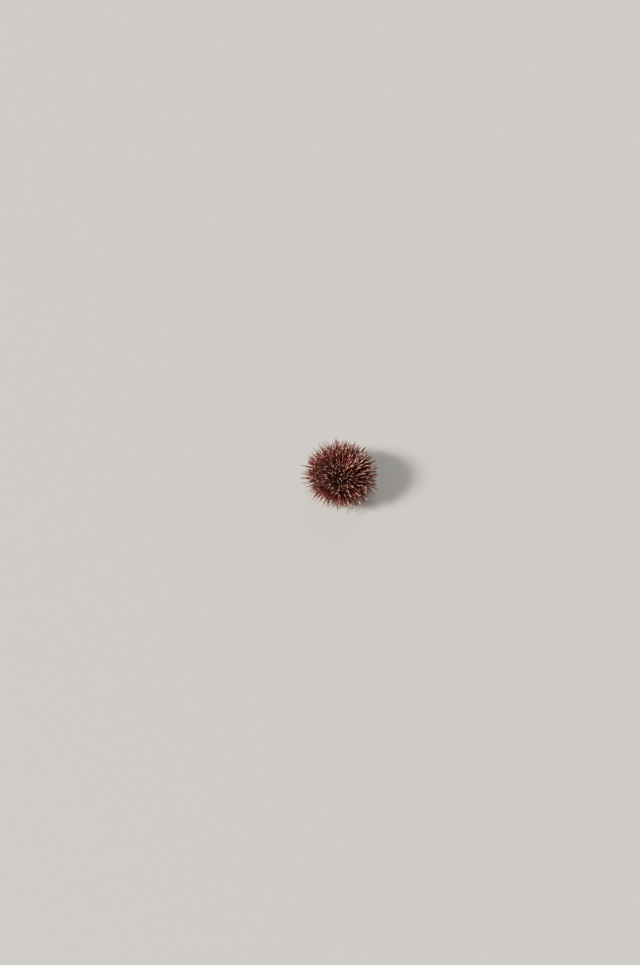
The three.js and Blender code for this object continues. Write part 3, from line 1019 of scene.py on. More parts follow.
def wet_spine_calcite(name, colours, lightness):
    """Grown calcite under a thin wet skin, ribbed and glassy. It is darker at the root, partly its own
    colour and partly painted shade deep among the spines, and pale at the tip, partly worn and partly a
    painted glint; the furrows between the ribs hold painted shade.
    """
    material, add = new_material(name)
    shaft = add("ShaderNodeUVMap", uv_map="Shaft")
    around, up, _ = add("ShaderNodeSeparateXYZ", {0: shaft}).outputs
    tone = add("ShaderNodeAttribute", attribute_name="tone").outputs["Fac"]
    here = add("ShaderNodeTexCoord").outputs["Object"]
    mottle = add("ShaderNodeTexNoise", {"Vector": here, "Scale": per(SPINE_MOTTLE), "Detail": 3.0})
    grain = add("ShaderNodeTexNoise", {"Vector": here, "Scale": per(SPINE_GRAIN), "Detail": 4.0})
    # A spine's own tone and the mottle move its colours up or down the shaft.
    tone_shift, mottle_shift = 0.22, 0.3
    shifted = add("ShaderNodeMath", {0: tone, 1: tone_shift, 2: up}, operation="MULTIPLY_ADD")
    wandering = add("ShaderNodeMath", {0: mottle, 1: mottle_shift, 2: shifted}, operation="MULTIPLY_ADD")
    middle = 0.5 * (tone_shift + mottle_shift)
    along = add("ShaderNodeMath", {0: wandering, 1: middle}, operation="SUBTRACT")
    # Painted shade: the dark root stretch reaches 0.4 of the shaft, so the spines are darker deep among
    # each other. Painted glint: the tip colour, partly wear, and the palest last stop stand for wet glints
    # at the tips.
    stops = [
        (0.0, colours.spine_root),
        (0.4, colours.spine_shaft),
        (0.78, colours.spine_shaft),
        (0.965, colours.spine_tip_wear_and_glint),
        (1.0, linear("#e0c0ab")),
    ]
    shade = add("ShaderNodeValToRGB", {"Fac": along}, stops=stops)
    own = add("ShaderNodeTexWhiteNoise", {"W": tone}, noise_dimensions="1D").outputs["Value"]
    purple = add(
        "ShaderNodeMapRange", {"Value": own, "From Min": 0.35, "From Max": 1.0, "To Max": 0.5}
    )
    hued = add("ShaderNodeMix", {"Factor": purple, "A": shade, "B": colours.spine_purple}, data_type="RGBA")
    light = {"Value": tone, "To Min": 0.62 * lightness, "To Max": 1.25 * lightness}
    lit = add("ShaderNodeHueSaturation", {"Value": add("ShaderNodeMapRange", light), "Color": hued})
    rib_angle = add("ShaderNodeMath", {0: around, 1: SPINE_RIBS * math.tau}, operation="MULTIPLY")
    ribs = add("ShaderNodeMath", {0: rib_angle}, operation="SINE")
    # Painted shade: the furrows between the ribs are darkened towards the root colour.
    furrow_shade = add(
        "ShaderNodeMapRange", {"Value": ribs, "From Min": -1.0, "From Max": 0.2, "To Min": 0.35}
    )
    shaded_in_furrows = add("ShaderNodeMix", {"Factor": furrow_shade, "A": colours.spine_root, "B": lit}, data_type="RGBA")
    relief = add("ShaderNodeMath", {0: grain, 1: 0.8, 2: ribs}, operation="MULTIPLY_ADD")
    feeds = {
        "Base Color": shaded_in_furrows,
        "Roughness": add("ShaderNodeMapRange", {"Value": grain, "To Min": 0.24, "To Max": 0.46}),
        "Normal": add("ShaderNodeBump", {"Strength": 0.45, "Distance": 0.06 * MM, "Height": relief}),
        "IOR": 1.52,
        "Coat Weight": 0.6,
        "Coat Roughness": 0.12,
        "Coat IOR": 1.34,
    }
    add("ShaderNodeOutputMaterial", {"Surface": add("ShaderNodeBsdfPrincipled", feeds)})
    return material


def pigmented_test_skin(colours):
    """Living skin over the plates of the test: dark, mottled and damp, paler on the bosses."""
    material, add = new_material("pigmented_skin_over_calcite")
    here = add("ShaderNodeTexCoord").outputs["Object"]
    mottle = add("ShaderNodeTexNoise", {"Vector": here, "Scale": per(SKIN_MOTTLE), "Detail": 5.0})
    granules = add("ShaderNodeTexVoronoi", {"Vector": here, "Scale": per(SKIN_GRANULE)})
    rise = granules.outputs["Distance"]
    grained = add("ShaderNodeMapRange", {"Value": rise, "From Max": 0.7, "To Min": 0.4, "To Max": 0.0})
    skin = linear("#1a0c10")
    for share, coat in (
        (mottle, colours.skin),
        (grained, linear("#58262c")),
        (add("ShaderNodeAttribute", attribute_name="boss").outputs["Fac"], colours.skin_light),
        (add("ShaderNodeAttribute", attribute_name="pore").outputs["Fac"], linear("#120a0d")),
    ):
        skin = add("ShaderNodeMix", {"Factor": share, "A": skin, "B": coat}, data_type="RGBA")
    relief = {"Strength": 0.6, "Distance": 0.15 * MM, "Height": rise}
    feeds = {
        "Base Color": skin,
        "Roughness": add("ShaderNodeMapRange", {"Value": mottle, "To Min": 0.5, "To Max": 0.75}),
        "Normal": add("ShaderNodeBump", relief, invert=True),
        "Specular IOR Level": 0.32,
        "Subsurface Weight": 0.08,
        "Subsurface Radius": (1.0, 0.3, 0.25),
        "Subsurface Scale": 0.4 * MM,
    }
    add("ShaderNodeOutputMaterial", {"Surface": add("ShaderNodeBsdfPrincipled", feeds)})
    return material


def translucent_tube_foot(colours):
    """Thin muscle full of sea water: soft light comes through it, and its sucker is pale."""
    material, add = new_material("translucent_tube_foot_muscle")
    shaft = add("ShaderNodeUVMap", uv_map="Shaft")
    along = add("ShaderNodeSeparateXYZ", {0: shaft}).outputs["Y"]
    tone = add("ShaderNodeAttribute", attribute_name="tone").outputs["Fac"]
    here = add("ShaderNodeTexCoord").outputs["Object"]
    stops = [
        (0.0, colours.spine_root),
        (0.3, colours.foot),
        (0.9, colours.foot),
        (0.975, colours.sucker),
    ]
    base = add("ShaderNodeValToRGB", {"Fac": along}, stops=stops)
    mottle = add("ShaderNodeTexNoise", {"Vector": here, "Scale": per(FOOT_MOTTLE), "Detail": 3.0})
    own = add("ShaderNodeMath", {0: mottle, 1: 0.9, 2: tone}, operation="MULTIPLY_ADD")
    strength = add(
        "ShaderNodeMapRange",
        {"Value": own, "From Min": 0.2, "From Max": 1.6, "To Min": 0.5, "To Max": 1.3},
    )
    ring_angle = add("ShaderNodeMath", {0: along, 1: FOOT_MUSCLE_RINGS * math.tau}, operation="MULTIPLY")
    rings = add("ShaderNodeMath", {0: ring_angle}, operation="SINE")
    feeds = {
        "Base Color": add("ShaderNodeHueSaturation", {"Value": strength, "Color": base}),
        "Normal": add("ShaderNodeBump", {"Strength": 0.15, "Distance": 0.03 * MM, "Height": rings}),
        "Roughness": 0.36,
        "Subsurface Weight": 0.25,
        "Subsurface Radius": (1.0, 0.4, 0.3),
        "Subsurface Scale": 0.5 * MM,
        "Coat Weight": 0.25,
        "Coat Roughness": 0.2,
    }
    add("ShaderNodeOutputMaterial", {"Surface": add("ShaderNodeBsdfPrincipled", feeds)})
    return material


def pedicellaria_calcite(colours):
    """Tiny calcite jaws on a soft stalk: a pale rose head on a dark thread."""
    material, add = new_material("pedicellaria_calcite_jaws")
    shaft = add("ShaderNodeUVMap", uv_map="Shaft")
    along = add("ShaderNodeSeparateXYZ", {0: shaft}).outputs["Y"]
    here = add("ShaderNodeTexCoord").outputs["Object"]
    grain = add("ShaderNodeTexNoise", {"Vector": here, "Scale": per(JAW_GRAIN), "Detail": 2.0})
    stops = [
        (0.0, colours.spine_root),
        (0.7, colours.foot),
        (0.8, linear("#8f5b56")),
        (1.0, linear("#b58578")),
    ]
    base = add("ShaderNodeValToRGB", {"Fac": along}, stops=stops)
    strength = add("ShaderNodeMapRange", {"Value": grain, "To Min": 0.7, "To Max": 1.1})
    lit = add("ShaderNodeHueSaturation", {"Value": strength, "Color": base})
    feeds = {"Base Color": lit, "Roughness": 0.42}
    add("ShaderNodeOutputMaterial", {"Surface": add("ShaderNodeBsdfPrincipled", feeds)})
    return material


def granular_apical_plates(colours):
    """Plates of calcite under thin skin: granular, dark in their seams, the sieve plate spongy."""
    material, add = new_material("granular_apical_plates")
    here = add("ShaderNodeTexCoord").outputs["Object"]
    seam = add("ShaderNodeAttribute", attribute_name="seam").outputs["Fac"]
    sieve = add("ShaderNodeAttribute", attribute_name="sieve").outputs["Fac"]
    mottle = add("ShaderNodeTexNoise", {"Vector": here, "Scale": per(PLATE_MOTTLE), "Detail": 4.0})
    granules = add("ShaderNodeTexVoronoi", {"Vector": here, "Scale": per(PLATE_GRANULE)})
    rise = granules.outputs["Distance"]
    plates = colours.plate
    for share, coat in ((mottle, linear("#6e3740")), (sieve, linear("#97655a"))):
        plates = add("ShaderNodeMix", {"Factor": share, "A": plates, "B": coat}, data_type="RGBA")
    pitted = add("ShaderNodeMapRange", {"Value": rise, "From Max": 0.6, "To Min": 1.15, "To Max": 0.7})
    grained = add("ShaderNodeHueSaturation", {"Value": pitted, "Color": plates})
    seamed = add("ShaderNodeMix", {"Factor": seam, "A": grained, "B": linear("#1b0d11")}, data_type="RGBA")
    relief = {"Strength": 0.7, "Distance": 0.12 * MM, "Height": rise}
    feeds = {
        "Base Color": seamed,
        "Roughness": 0.55,
        "Normal": add("ShaderNodeBump", relief, invert=True),
        "Specular IOR Level": 0.4,
    }
    add("ShaderNodeOutputMaterial", {"Surface": add("ShaderNodeBsdfPrincipled", feeds)})
    return material


def wrinkled_mouth_skin(colours):
    """Soft leathery skin round the mouth: damp, folded, flecked with small plates, with painted shade in
    the troughs of its folds.
    """
    material, add = new_material("wrinkled_mouth_skin")
    here = add("ShaderNodeTexCoord").outputs["Object"]
    flecks = add("ShaderNodeTexVoronoi", {"Vector": here, "Scale": per(MOUTH_FLECK)})
    away = flecks.outputs["Distance"]
    mottle = add("ShaderNodeTexNoise", {"Vector": here, "Scale": per(MOUTH_MOTTLE), "Detail": 5.0})
    fleck = add(
        "ShaderNodeMapRange",
        {"Value": away, "From Min": 0.15, "From Max": 0.4, "To Min": 0.6, "To Max": 0.0},
    )
    skin = linear("#4d2629")
    for share, coat in (
        (mottle, colours.mouth),
        (fleck, linear("#b28474")),
        (add("ShaderNodeAttribute", attribute_name="lip").outputs["Fac"], linear("#a5605a")),
        # Painted shade: darker in the troughs of the folds.
        (add("ShaderNodeAttribute", attribute_name="fold_shade").outputs["Fac"], linear("#32171a")),
    ):
        skin = add("ShaderNodeMix", {"Factor": share, "A": skin, "B": coat}, data_type="RGBA")
    feeds = {
        "Base Color": skin,
        "Roughness": 0.55,
        "Normal": add("ShaderNodeBump", {"Strength": 0.5, "Distance": 0.12 * MM, "Height": mottle}),
        "Specular IOR Level": 0.4,
        "Subsurface Weight": 0.12,
        "Subsurface Radius": (1.0, 0.4, 0.3),
        "Subsurface Scale": 0.6 * MM,
    }
    add("ShaderNodeOutputMaterial", {"Surface": add("ShaderNodeBsdfPrincipled", feeds)})
    return material


def ivory_tooth_calcite(colours):
    """Calcite blades that sharpen themselves: smooth ivory with fine growth lines and a white edge."""
    material, add = new_material("ivory_tooth_calcite")
    here = add("ShaderNodeTexCoord").outputs["Object"]
    height = add("ShaderNodeSeparateXYZ", {0: here}).outputs["Z"]
    wander = add("ShaderNodeTexNoise", {"Vector": here, "Scale": per(TOOTH_WAVER), "Detail": 2.0})
    lined = add("ShaderNodeMath", {0: height, 1: math.tau / GROWTH_LINE}, operation="MULTIPLY")
    bent = add("ShaderNodeMath", {0: wander, 1: 7.0, 2: lined}, operation="MULTIPLY_ADD")
    lines = add("ShaderNodeMath", {0: bent}, operation="SINE")
    grown_in = add(
        "ShaderNodeMapRange", {"Value": lines, "From Min": -1.0, "To Min": 0.0, "To Max": 0.3}
    )
    tip = float(lip_height() - TOOTH_SHOWS)
    whiter = add(
        "ShaderNodeMapRange",
        {"Value": height, "From Min": tip, "From Max": tip + MM, "To Min": 0.75, "To Max": 0.0},
    )
    ivory = colours.tooth
    for share, coat in ((grown_in, linear("#b79c6c")), (whiter, linear("#f4efe2"))):
        ivory = add("ShaderNodeMix", {"Factor": share, "A": ivory, "B": coat}, data_type="RGBA")
    feeds = {
        "Base Color": ivory,
        "Roughness": 0.32,
        "Normal": add("ShaderNodeBump", {"Strength": 0.25, "Distance": 0.05 * MM, "Height": lines}),
        "Coat Weight": 0.25,
        "Coat Roughness": 0.15,
    }
    add("ShaderNodeOutputMaterial", {"Surface": add("ShaderNodeBsdfPrincipled", feeds)})
    return material


def matt_floor_board(colours):
    """Matt painted board: an even pale ground with the faintest tooth."""
    material, add = new_material("matt_painted_board")
    here = add("ShaderNodeTexCoord").outputs["Object"]
    tooth = add("ShaderNodeTexNoise", {"Vector": here, "Scale": per(BOARD_TOOTH), "Detail": 3.0})
    shade = add("ShaderNodeMapRange", {"Value": tooth, "To Min": 0.97, "To Max": 1.03})
    base = add("ShaderNodeHueSaturation", {"Value": shade, "Color": colours.floor})
    feeds = {"Base Color": base, "Roughness": 0.8}
    add("ShaderNodeOutputMaterial", {"Surface": add("ShaderNodeBsdfPrincipled", feeds)})
    return material


def lip_height():
    """Height of the lip above the floor."""
    return float(meridian(PERISTOME_EDGE)[1]) - LIP_DROP


def peristome_height(radius):
    """Height of the mouth's skin at a radius, bulging down from its rim to the lip."""
    share = (PERISTOME_RADIUS - radius) / (PERISTOME_RADIUS - LIP_RADIUS)
    share = np.clip(share, 0, 1)
    return float(meridian(PERISTOME_EDGE)[1]) - LIP_DROP * np.sin(share * math.pi / 2)


class URCHIN_OT_test_skin(bpy.types.Operator):
    """Makes the skin of the test, with a boss under each large spine and a pit under each tube foot"""

    bl_idname = "urchin.test_skin"
    bl_label = "Test skin"

    def execute(self, context):
        """Makes the piece."""
        places, normals, turn, along = test_places(SKIN_ROWS, SKIN_SIDES)
        flat = places.reshape(-1, 3)
        feet = foot_spots(context.scene.urchin_sizes)
        boss = hill(nearest_distances(flat, [spine["base"] for spine in LARGE_SPINES]), BOSS_REACH)
        pore = hill(nearest_distances(flat, [spot["base"] for spot in feet]), PORE_REACH)
        fullness = np.sin(math.pi * along.ravel() / MERIDIAN_LENGTH)
        swell = RAY_SWELL * np.cos(RAYS * turn).ravel() * fullness
        lift = swell + BOSS_HEIGHT * boss - PORE_DEPTH * pore - SKIN_SINK
        raised = flat + normals.reshape(-1, 3) * lift[:, None]
        mesh = sheet_mesh("test_skin", raised.reshape(places.shape))
        give_attribute(mesh, "boss", boss)
        give_attribute(mesh, "pore", pore)
        kinds = ("ambulacrum", "interambulacrum")
        rays = [f"{kind}_{i + 1}" for kind in kinds for i in range(RAYS)]
        material = pigmented_test_skin(context.scene.urchin_colours)
        keep_piece("test_skin", mesh, material, "spines", *rays)
        return {"FINISHED"}


class URCHIN_OT_large_spines(bpy.types.Operator):
    """Grows the large spines of all ten rays and of the apical disc from their own roots"""

    bl_idname = "urchin.large_spines"
    bl_label = "Large spines"

    def execute(self, context):
        """Makes the piece."""
        spots = []
        for spine in LARGE_SPINES:
            radius = spine["thickness"] * context.scene.urchin_sizes.shaft_share
            length = (spine["tip"] - spine["base"]).length
            if spine["tip"].z < radius:
                length -= FLOOR_TRIM * radius
            spots.append(spot_at(spine["base"], spine["aim"], (radius, radius, length), spine["along"]))
        shapes = [
            [shaft_parts(swollen(LARGE_SPINE_RINGS, swell), sides=10, bend=bend, lobes=0.035)]
            for swell, bend in ((0.0, 0.1), (0.08, -0.3), (-0.05, 0.4))
        ]
        material = wet_spine_calcite("wet_ribbed_spine_calcite", context.scene.urchin_colours, 1.0)
        rooted("large_spines", spots, shapes, material, seed=3)
        return {"FINISHED"}


class URCHIN_OT_small_spines(bpy.types.Operator):
    """Scatters the secondary and miliary spines and the pincers between the large spines"""

    bl_idname = "urchin.small_spines"
    bl_label = "Small spines and pincers"

    def execute(self, context):
        """Makes the three pieces."""
        sizes, colours = context.scene.urchin_sizes, context.scene.urchin_colours
        taken_mesh = bpy.data.meshes.new("taken")
        taken_mesh.from_pydata([spine["base"] for spine in LARGE_SPINES], [], [])
        taken = bpy.data.objects.new("taken", taken_mesh)
        tree = scattered_tree()
        secondary = [
            [shaft_parts(swollen(SMALL_SPINE_RINGS, swell), sides=8, bend=bend, lobes=0.03)]
            for swell, bend in ((0.0, 0.4), (0.1, -0.8), (-0.06, 1.1))
        ]
        miliary = [[shaft_parts(MILIARY_RINGS, sides=6, bend=bend)] for bend in (0.5, -1.2, 2.0)]
        pincers = [
            [shaft_parts(PINCER_RINGS, sides=6, bend=bend, wave=0.6, lobes=0.28, lobed_from=0.7)]
            for bend in (1.0, -2.0, 3.0)
        ]
        secondary_calcite = wet_spine_calcite("wet_secondary_spine_calcite", colours, 0.92)
        miliary_calcite = wet_spine_calcite("wet_miliary_spine_calcite", colours, 0.8)
        jaws = pedicellaria_calcite(colours)
        gaps = (sizes.secondary_spacing, sizes.miliary_spacing, sizes.pedicellaria_spacing)
        radii = (sizes.secondary_radius, sizes.miliary_radius, PINCER_RADIUS)
        coats = (
            ("secondary_spines", SECONDARY, secondary, secondary_calcite),
            ("miliary_spines", MILIARY, miliary, miliary_calcite),
            ("pedicellariae", PINCERS, pincers, jaws),
        )
        for (name, rule, shapes, material), gap, radius in zip(coats, gaps, radii):
            values = {**rule, "Spacing": gap, "Radius": radius, "Material": material}
            values.update({"Taken": taken, "Floor gap": COAT_FLOOR_GAP})
            grown(name, scatter_bed(), tree, shapes, values)
        bpy.data.objects.remove(taken)
        return {"FINISHED"}


class URCHIN_OT_tube_feet(bpy.types.Operator):
    """Grows tube feet with suckers along the two edges of each ambulacrum"""

    bl_idname = "urchin.tube_feet"
    bl_label = "Tube feet"

    def execute(self, context):
        """Makes the piece."""
        shapes = [
            [shaft_parts(TUBE_FOOT_RINGS, sides=9, bend=bend, wave=wave)]
            for bend, wave in ((3.0, 1.5), (-6.0, 2.0), (8.0, -1.6))
        ]
        spots = foot_spots(context.scene.urchin_sizes)
        material = translucent_tube_foot(context.scene.urchin_colours)
        rooted("tube_feet", spots, shapes, material, seed=5)
        return {"FINISHED"}


def apical_mosaic(x, y):
    """Height, seam and sieve share of the apical plates at points round the axis.

    Five genital plates, one of them the sieve plate, five ocular plates between them, and the
    small plates round the vent are the cells round their middles. A cell's middle is a radius,
    a turn, how much further than its neighbours it reaches, and whether it is the sieve plate.
    """
    chance = Chance(MOSAIC_DRAW)
    middles = [(VENT_PLATE_AT, VENT_PLATE_TURN, 0.0, 0)]
    for count, radius in VENT_RINGS:
        for i in range(count):
            turn = (i + VENT_TURN_JITTER * chance.spread()) * math.tau / count
            place = radius * (1 + VENT_PLACE_JITTER * chance.spread())
            middles.append((place, turn, 0.0, 0))
    for i in range(RAYS):
        is_sieve = i == SIEVE_RAY
        extra = SIEVE_EXTRA if is_sieve else GENITAL_EXTRA
        middles.append((GENITAL_AT, (i + 0.5) * RAY_TURN, extra, int(is_sieve)))
        middles.append((OCULAR_AT, i * RAY_TURN, OCULAR_EXTRA, 0))
    reach = np.stack(
        [np.hypot(x - r * math.cos(a), y - r * math.sin(a)) - extra for r, a, extra, _ in middles], -1
    )
    order = np.argsort(reach, -1)
    first = np.take_along_axis(reach, order[..., :1], -1)[..., 0]
    second = np.take_along_axis(reach, order[..., 1:2], -1)[..., 0]
    seam = hill(second - first, SEAM_REACH)
    sieve = np.array([middle[3] for middle in middles])[order[..., 0]] * (1 - seam)
    height = PLATE_HEIGHT * (1 - seam) + SIEVE_HEIGHT * sieve
    for i in range(RAYS):
        angle = (i + 0.5) * RAY_TURN
        pore_x, pore_y = GENITAL_PORE_AT * math.cos(angle), GENITAL_PORE_AT * math.sin(angle)
        dip = hill(np.hypot(x - pore_x, y - pore_y), GENITAL_PORE_REACH)
        height = height - GENITAL_PORE_DEPTH * dip
        seam = np.maximum(seam, dip)
    vent = hill(np.hypot(x, y), VENT_REACH)
    return height - VENT_DEPTH * vent, np.maximum(seam, vent), sieve


class URCHIN_OT_apical_plates(bpy.types.Operator):
    """Makes the plates at the top: genital, sieve and ocular plates round the vent"""

    bl_idname = "urchin.apical_plates"
    bl_label = "Apical plates"

    def execute(self, context):
        """Makes the piece."""
        turn = np.arange(PLATE_SIDES) * math.tau / PLATE_SIDES
        radii = np.linspace(0, PLATE_EDGE, PLATE_ROWS)[1:]
        x = radii[:, None] * np.cos(turn)
        y = radii[:, None] * np.sin(turn)
        upper = OUTLINE[: MERIDIAN_SAMPLES // 2]
        dome = np.interp(radii, upper[:, 0], upper[:, 1])
        height, seam, sieve = apical_mosaic(x, y)
        fade = np.clip((PLATE_EDGE - radii) / PLATE_FADE, 0, 1)[:, None]
        top = np.stack([x, y, dome[:, None] - PLATE_SINK + height * fade], -1)
        under = top[::-PLATE_UNDER_STEP].copy()
        under[..., 2] = dome[::-PLATE_UNDER_STEP][:, None] - PLATE_DEPTH
        mesh = sheet_mesh("apical_plates", np.concatenate([top, under]) + np.array(AXIS))
        rest = np.zeros(under.shape[0] * under.shape[1])
        give_attribute(mesh, "seam", np.concatenate([seam.ravel(), rest]))
        give_attribute(mesh, "sieve", np.concatenate([sieve.ravel(), rest]))
        material = granular_apical_plates(context.scene.urchin_colours)
        keep_piece("apical_plates", mesh, material, "apical_plates", "apical_disc")
        return {"FINISHED"}


class URCHIN_OT_mouth(bpy.types.Operator):
    """Makes the skin round the mouth with its lip, buccal feet and gills"""

    bl_idname = "urchin.mouth"
    bl_label = "Mouth skin, buccal feet and gills"

    def execute(self, context):
        """Makes the three pieces."""
        colours = context.scene.urchin_colours
        skin = wrinkled_mouth_skin(colours)
        self.make_skin(skin)
        feet = paired_spots(BUCCAL_FEET_AT, BUCCAL_PAIR, BUCCAL_LEAN, BUCCAL_SIZE)
        shapes = [[shaft_parts(BUCCAL_FOOT_RINGS, sides=16, bend=bend)] for bend in (0.2, -0.4, 0.5)]
        rooted("buccal_feet", feet, shapes, translucent_tube_foot(colours), seed=8)
        gills = paired_spots(GILL_AT, AMBULACRUM_EDGE, GILL_LEAN, GILL_SIZE)
        shapes = [self.gill_parts(variant) for variant in range(VARIANTS)]
        rooted("gills", gills, shapes, skin, seed=9)
        return {"FINISHED"}

    def make_skin(self, material):
        """The skin as one closed ring, folded towards the lip."""
        turn = np.arange(MOUTH_SIDES) * math.tau / MOUTH_SIDES
        rim = float(meridian(PERISTOME_EDGE)[1])
        lip = lip_height()
        radii = np.linspace(MOUTH_EDGE, LIP_RADIUS, MOUTH_ROWS)
        shown = [(r, float(peristome_height(r))) for r in radii]
        roll = [
            (LIP_RADIUS - 0.35 * MM, lip - 0.28 * MM),
            (LIP_RADIUS - 0.75 * MM, lip - 0.3 * MM),
            (MOUTH_RADIUS - 0.05 * MM, lip + 0.05 * MM),
            (MOUTH_RADIUS - 0.12 * MM, lip + 0.6 * MM),
        ]
        hidden = [
            (MOUTH_RADIUS, lip + MOUTH_DEPTH - 0.2 * MM),
            (0.5 * PERISTOME_RADIUS, rim + 0.9 * MM),
            (MOUTH_EDGE, rim + 0.5 * MM),
        ]
        profile = np.array(shown + roll + hidden)
        inwards = (PERISTOME_RADIUS - profile[:, :1]) / (PERISTOME_RADIUS - MOUTH_RADIUS)
        share = np.clip(inwards, 0, 1)
        fine = np.sin(FINE_FOLDS * turn + FINE_FOLD_TURN)
        around = np.sin(MOUTH_FOLDS * turn) + FINE_FOLD_SHARE * fine
        across = np.sin(share * CROSS_WAVES) * (1 - share)
        wrinkle = (0.05 + 0.2 * share**2) * MM * around + CROSS_WAVE_HEIGHT * across
        wrinkle[-len(hidden) :] = 0
        x = profile[:, :1] * np.cos(turn)
        y = profile[:, :1] * np.sin(turn)
        places = np.stack([x, y, profile[:, 1:] - wrinkle], -1) + np.array(AXIS)
        mesh = sheet_mesh("mouth_skin", places, looped=True)
        lipped = np.clip((share - LIP_FROM) / LIP_FADE, 0, 1)
        give_attribute(mesh, "lip", np.broadcast_to(lipped, x.shape).ravel())
        # Painted shade where the folds sink in, stronger towards the lip.
        fold_shade = np.clip(-around, 0, 1) * share**2
        give_attribute(mesh, "fold_shade", np.clip(fold_shade, 0, 1).ravel())
        keep_piece("mouth_skin", mesh, material, "mouth_skin", "peristome")

    def gill_parts(self, variant):
        """One bush of fingers that lean further out the further they stand from its middle."""
        parts = []
        for k in range(GILL_FINGERS):
            angle = k * GILL_FINGER_TURN + variant
            lean = GILL_SPREAD * math.sqrt(k / GILL_FINGERS)
            tall = 1.0 - GILL_STOOP * lean - GILL_STEP * (k % 3)
            points, faces, uvs = shaft_parts(GILL_RINGS, sides=6, bend=0.2, lobes=0.12)
            moved = []
            for x, y, height in points:
                out = lean * (GILL_ROOT_SPREAD + height)
                moved.append((x + out * math.cos(angle), y + out * math.sin(angle), height * tall))
            parts.append((moved, faces, uvs))
        return parts


class URCHIN_OT_teeth(bpy.types.Operator):
    """Makes the five teeth that close to a point in the mouth"""

    bl_idname = "urchin.teeth"
    bl_label = "Teeth"

    def execute(self, context):
        """Makes one piece for each tooth."""
        material = ivory_tooth_calcite(context.scene.urchin_colours)
        roof = lip_height() + MOUTH_DEPTH - JOIN_GAP
        tip = lip_height() - TOOTH_SHOWS
        rows = []
        for down in np.linspace(0, 1, TOOTH_ROWS):
            wide = TOOTH_RADIUS * (1 - TOOTH_TAPER * down**TOOTH_TAPER_POWER)
            x, y = self.section(wide, down)
            chisel = TOOTH_CHISEL * down**2 / wide
            rows.append(np.stack([x, y, roof + (tip - roof) * down + chisel * x], -1))
        x, y, z = np.moveaxis(np.array(rows), -1, 0)
        for i in range(RAYS):
            turn = (i + 0.5) * RAY_TURN
            across = x * math.cos(turn) - y * math.sin(turn)
            along = x * math.sin(turn) + y * math.cos(turn)
            name = f"tooth_blade_{i + 1}"
            mesh = sheet_mesh(name, np.stack([across, along, z], -1) + np.array(AXIS))
            keep_piece(name, mesh, material, "teeth", f"tooth_{i + 1}")
        return {"FINISHED"}

    def section(self, wide, down):
        """A tooth's section: from its keel along one side, round the outside and back.

        It narrows towards the point, and its sides end a little inside its outer face.
        """
        half = math.pi / RAYS
        narrowed = TOOTH_WEDGE - TOOTH_NARROWING * down**3
        reach = np.linspace(TOOTH_KEEL, TOOTH_SIDE_REACH * wide, TOOTH_SIDE_POINTS)
        side = (reach - TOOTH_GAP) * math.tan(half) * narrowed
        face = TOOTH_FACE_TURN * half
        turn = np.linspace(face, -face, TOOTH_FACE_POINTS)[1:-1] * narrowed
        x = np.concatenate([reach, wide * np.cos(turn), reach[:0:-1]])
        y = np.concatenate([side, wide * np.sin(turn), -side[:0:-1]])
        return x, y


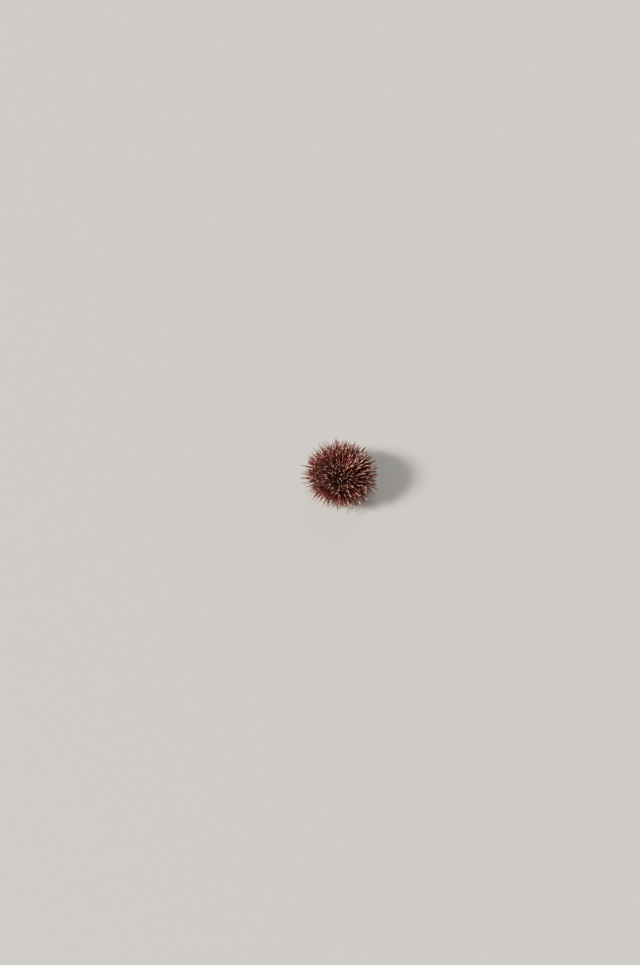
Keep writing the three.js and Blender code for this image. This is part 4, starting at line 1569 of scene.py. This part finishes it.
class URCHIN_OT_stage(bpy.types.Operator):
    """Sets up the floor, the soft lights and the camera with the photograph's framing"""

    bl_idname = "urchin.stage"
    bl_label = "Stage, lights and camera"

    def execute(self, context):
        """Makes the stage."""
        scene = context.scene
        mesh = bpy.data.meshes.new("floor")
        corners = ((-1, -1), (1, -1), (1, 1), (-1, 1))
        mesh.from_pydata([(x * FLOOR_REACH, y * FLOOR_REACH, 0) for x, y in corners], [], [(0, 1, 2, 3)])
        mesh.materials.append(matt_floor_board(scene.urchin_colours))
        floor = bpy.data.objects.new("floor", mesh)
        scene.collection.objects.link(floor)
        scene.world = self.studio_world()
        for lamp in LAMPS:
            self.hang_lamp(scene, lamp)
        self.aim_camera(scene)
        return {"FINISHED"}

    def studio_world(self):
        """A pale world, a little lighter than the floor at the horizon and dim overhead."""
        world = bpy.data.worlds.new("studio")
        world.use_nodes = True
        world.node_tree.nodes.clear()
        add = partial(add_node, world.node_tree)
        direction = add("ShaderNodeTexCoord").outputs["Generated"]
        rise = add("ShaderNodeSeparateXYZ", {0: direction}).outputs["Z"]
        strength = add(
            "ShaderNodeMapRange",
            {"Value": rise, "From Min": 0.06, "From Max": 0.42, "To Min": 2.5, "To Max": 0.2},
        )
        sky = add("ShaderNodeBackground", {"Color": linear("#dcd9d1"), "Strength": strength})
        add("ShaderNodeOutputWorld", {"Surface": sky})
        return world

    def hang_lamp(self, scene, lamp):
        """A large far lamp, so that it lights the whole floor evenly and its shadows stay soft."""
        data = bpy.data.lights.new(lamp["name"], "SUN")
        data.angle = math.radians(lamp["spread_deg"])
        data.energy = lamp["strength"]
        data.color = linear(lamp["colour"])[:3]
        light = bpy.data.objects.new(lamp["name"], data)
        light.location = lamp["place"]
        towards = Vector((0, 0, AMBITUS_Z)) - Vector(lamp["place"])
        light.rotation_euler = towards.to_track_quat("-Z", "Y").to_euler()
        scene.collection.objects.link(light)

    def aim_camera(self, scene):
        """Puts the animal at its place and size in the photograph's frame."""
        low, high = cad_box
        middle = (low + high) / 2
        distance = (high.x - low.x) * FOCAL_PIXELS / URCHIN_PIXELS
        back = Vector((0, -math.cos(VIEW_ELEVATION), math.sin(VIEW_ELEVATION)))
        right = Vector((1, 0, 0))
        up = back.cross(right)
        across = (URCHIN_AT[0] - PHOTO_WIDTH / 2) * distance / FOCAL_PIXELS
        rise = (PHOTO_HEIGHT / 2 - URCHIN_AT[1]) * distance / FOCAL_PIXELS
        camera_data = bpy.data.cameras.new("camera")
        camera_data.lens = LENS_MM
        camera_data.sensor_width = LENS_MM * PHOTO_HEIGHT / FOCAL_PIXELS
        camera = bpy.data.objects.new("camera", camera_data)
        camera.location = middle - right * across - up * rise + back * distance
        camera.rotation_euler = (-back).to_track_quat("-Z", "Y").to_euler()
        scene.collection.objects.link(camera)
        scene.camera = camera


class URCHIN_PT_panel(bpy.types.Panel):
    """Lists the makers of the urchin's pieces and the values that they read"""

    bl_idname = "URCHIN_PT_panel"
    bl_label = "Sea urchin"
    bl_space_type = "VIEW_3D"
    bl_region_type = "UI"
    bl_category = "Urchin"

    def draw(self, context):
        """Draws the panel."""
        for maker in MAKERS:
            self.layout.operator(maker.bl_idname)
        for group in (context.scene.urchin_sizes, context.scene.urchin_colours):
            box = self.layout.box()
            for name in group.__annotations__:
                box.prop(group, name)


MAKERS = (
    URCHIN_OT_stage,
    URCHIN_OT_test_skin,
    URCHIN_OT_large_spines,
    URCHIN_OT_small_spines,
    URCHIN_OT_tube_feet,
    URCHIN_OT_apical_plates,
    URCHIN_OT_mouth,
    URCHIN_OT_teeth,
)
CLASSES = (UrchinSizes, UrchinColours, *MAKERS, URCHIN_PT_panel)


def register():
    """Registers the classes and hangs the two groups of values on the scene."""
    for item in CLASSES:
        bpy.utils.register_class(item)
    bpy.types.Scene.urchin_sizes = bpy.props.PointerProperty(type=UrchinSizes)
    bpy.types.Scene.urchin_colours = bpy.props.PointerProperty(type=UrchinColours)


def unregister():
    """Takes the groups and the classes away again."""
    del bpy.types.Scene.urchin_colours
    del bpy.types.Scene.urchin_sizes
    for item in reversed(CLASSES):
        bpy.utils.unregister_class(item)


def main():
    """Makes every piece in order."""
    register()
    bpy.ops.urchin.stage()
    bpy.ops.urchin.test_skin()
    bpy.ops.urchin.large_spines()
    bpy.ops.urchin.small_spines()
    bpy.ops.urchin.tube_feet()
    bpy.ops.urchin.apical_plates()
    bpy.ops.urchin.mouth()
    bpy.ops.urchin.teeth()


if __name__ == "__main__":
    main()
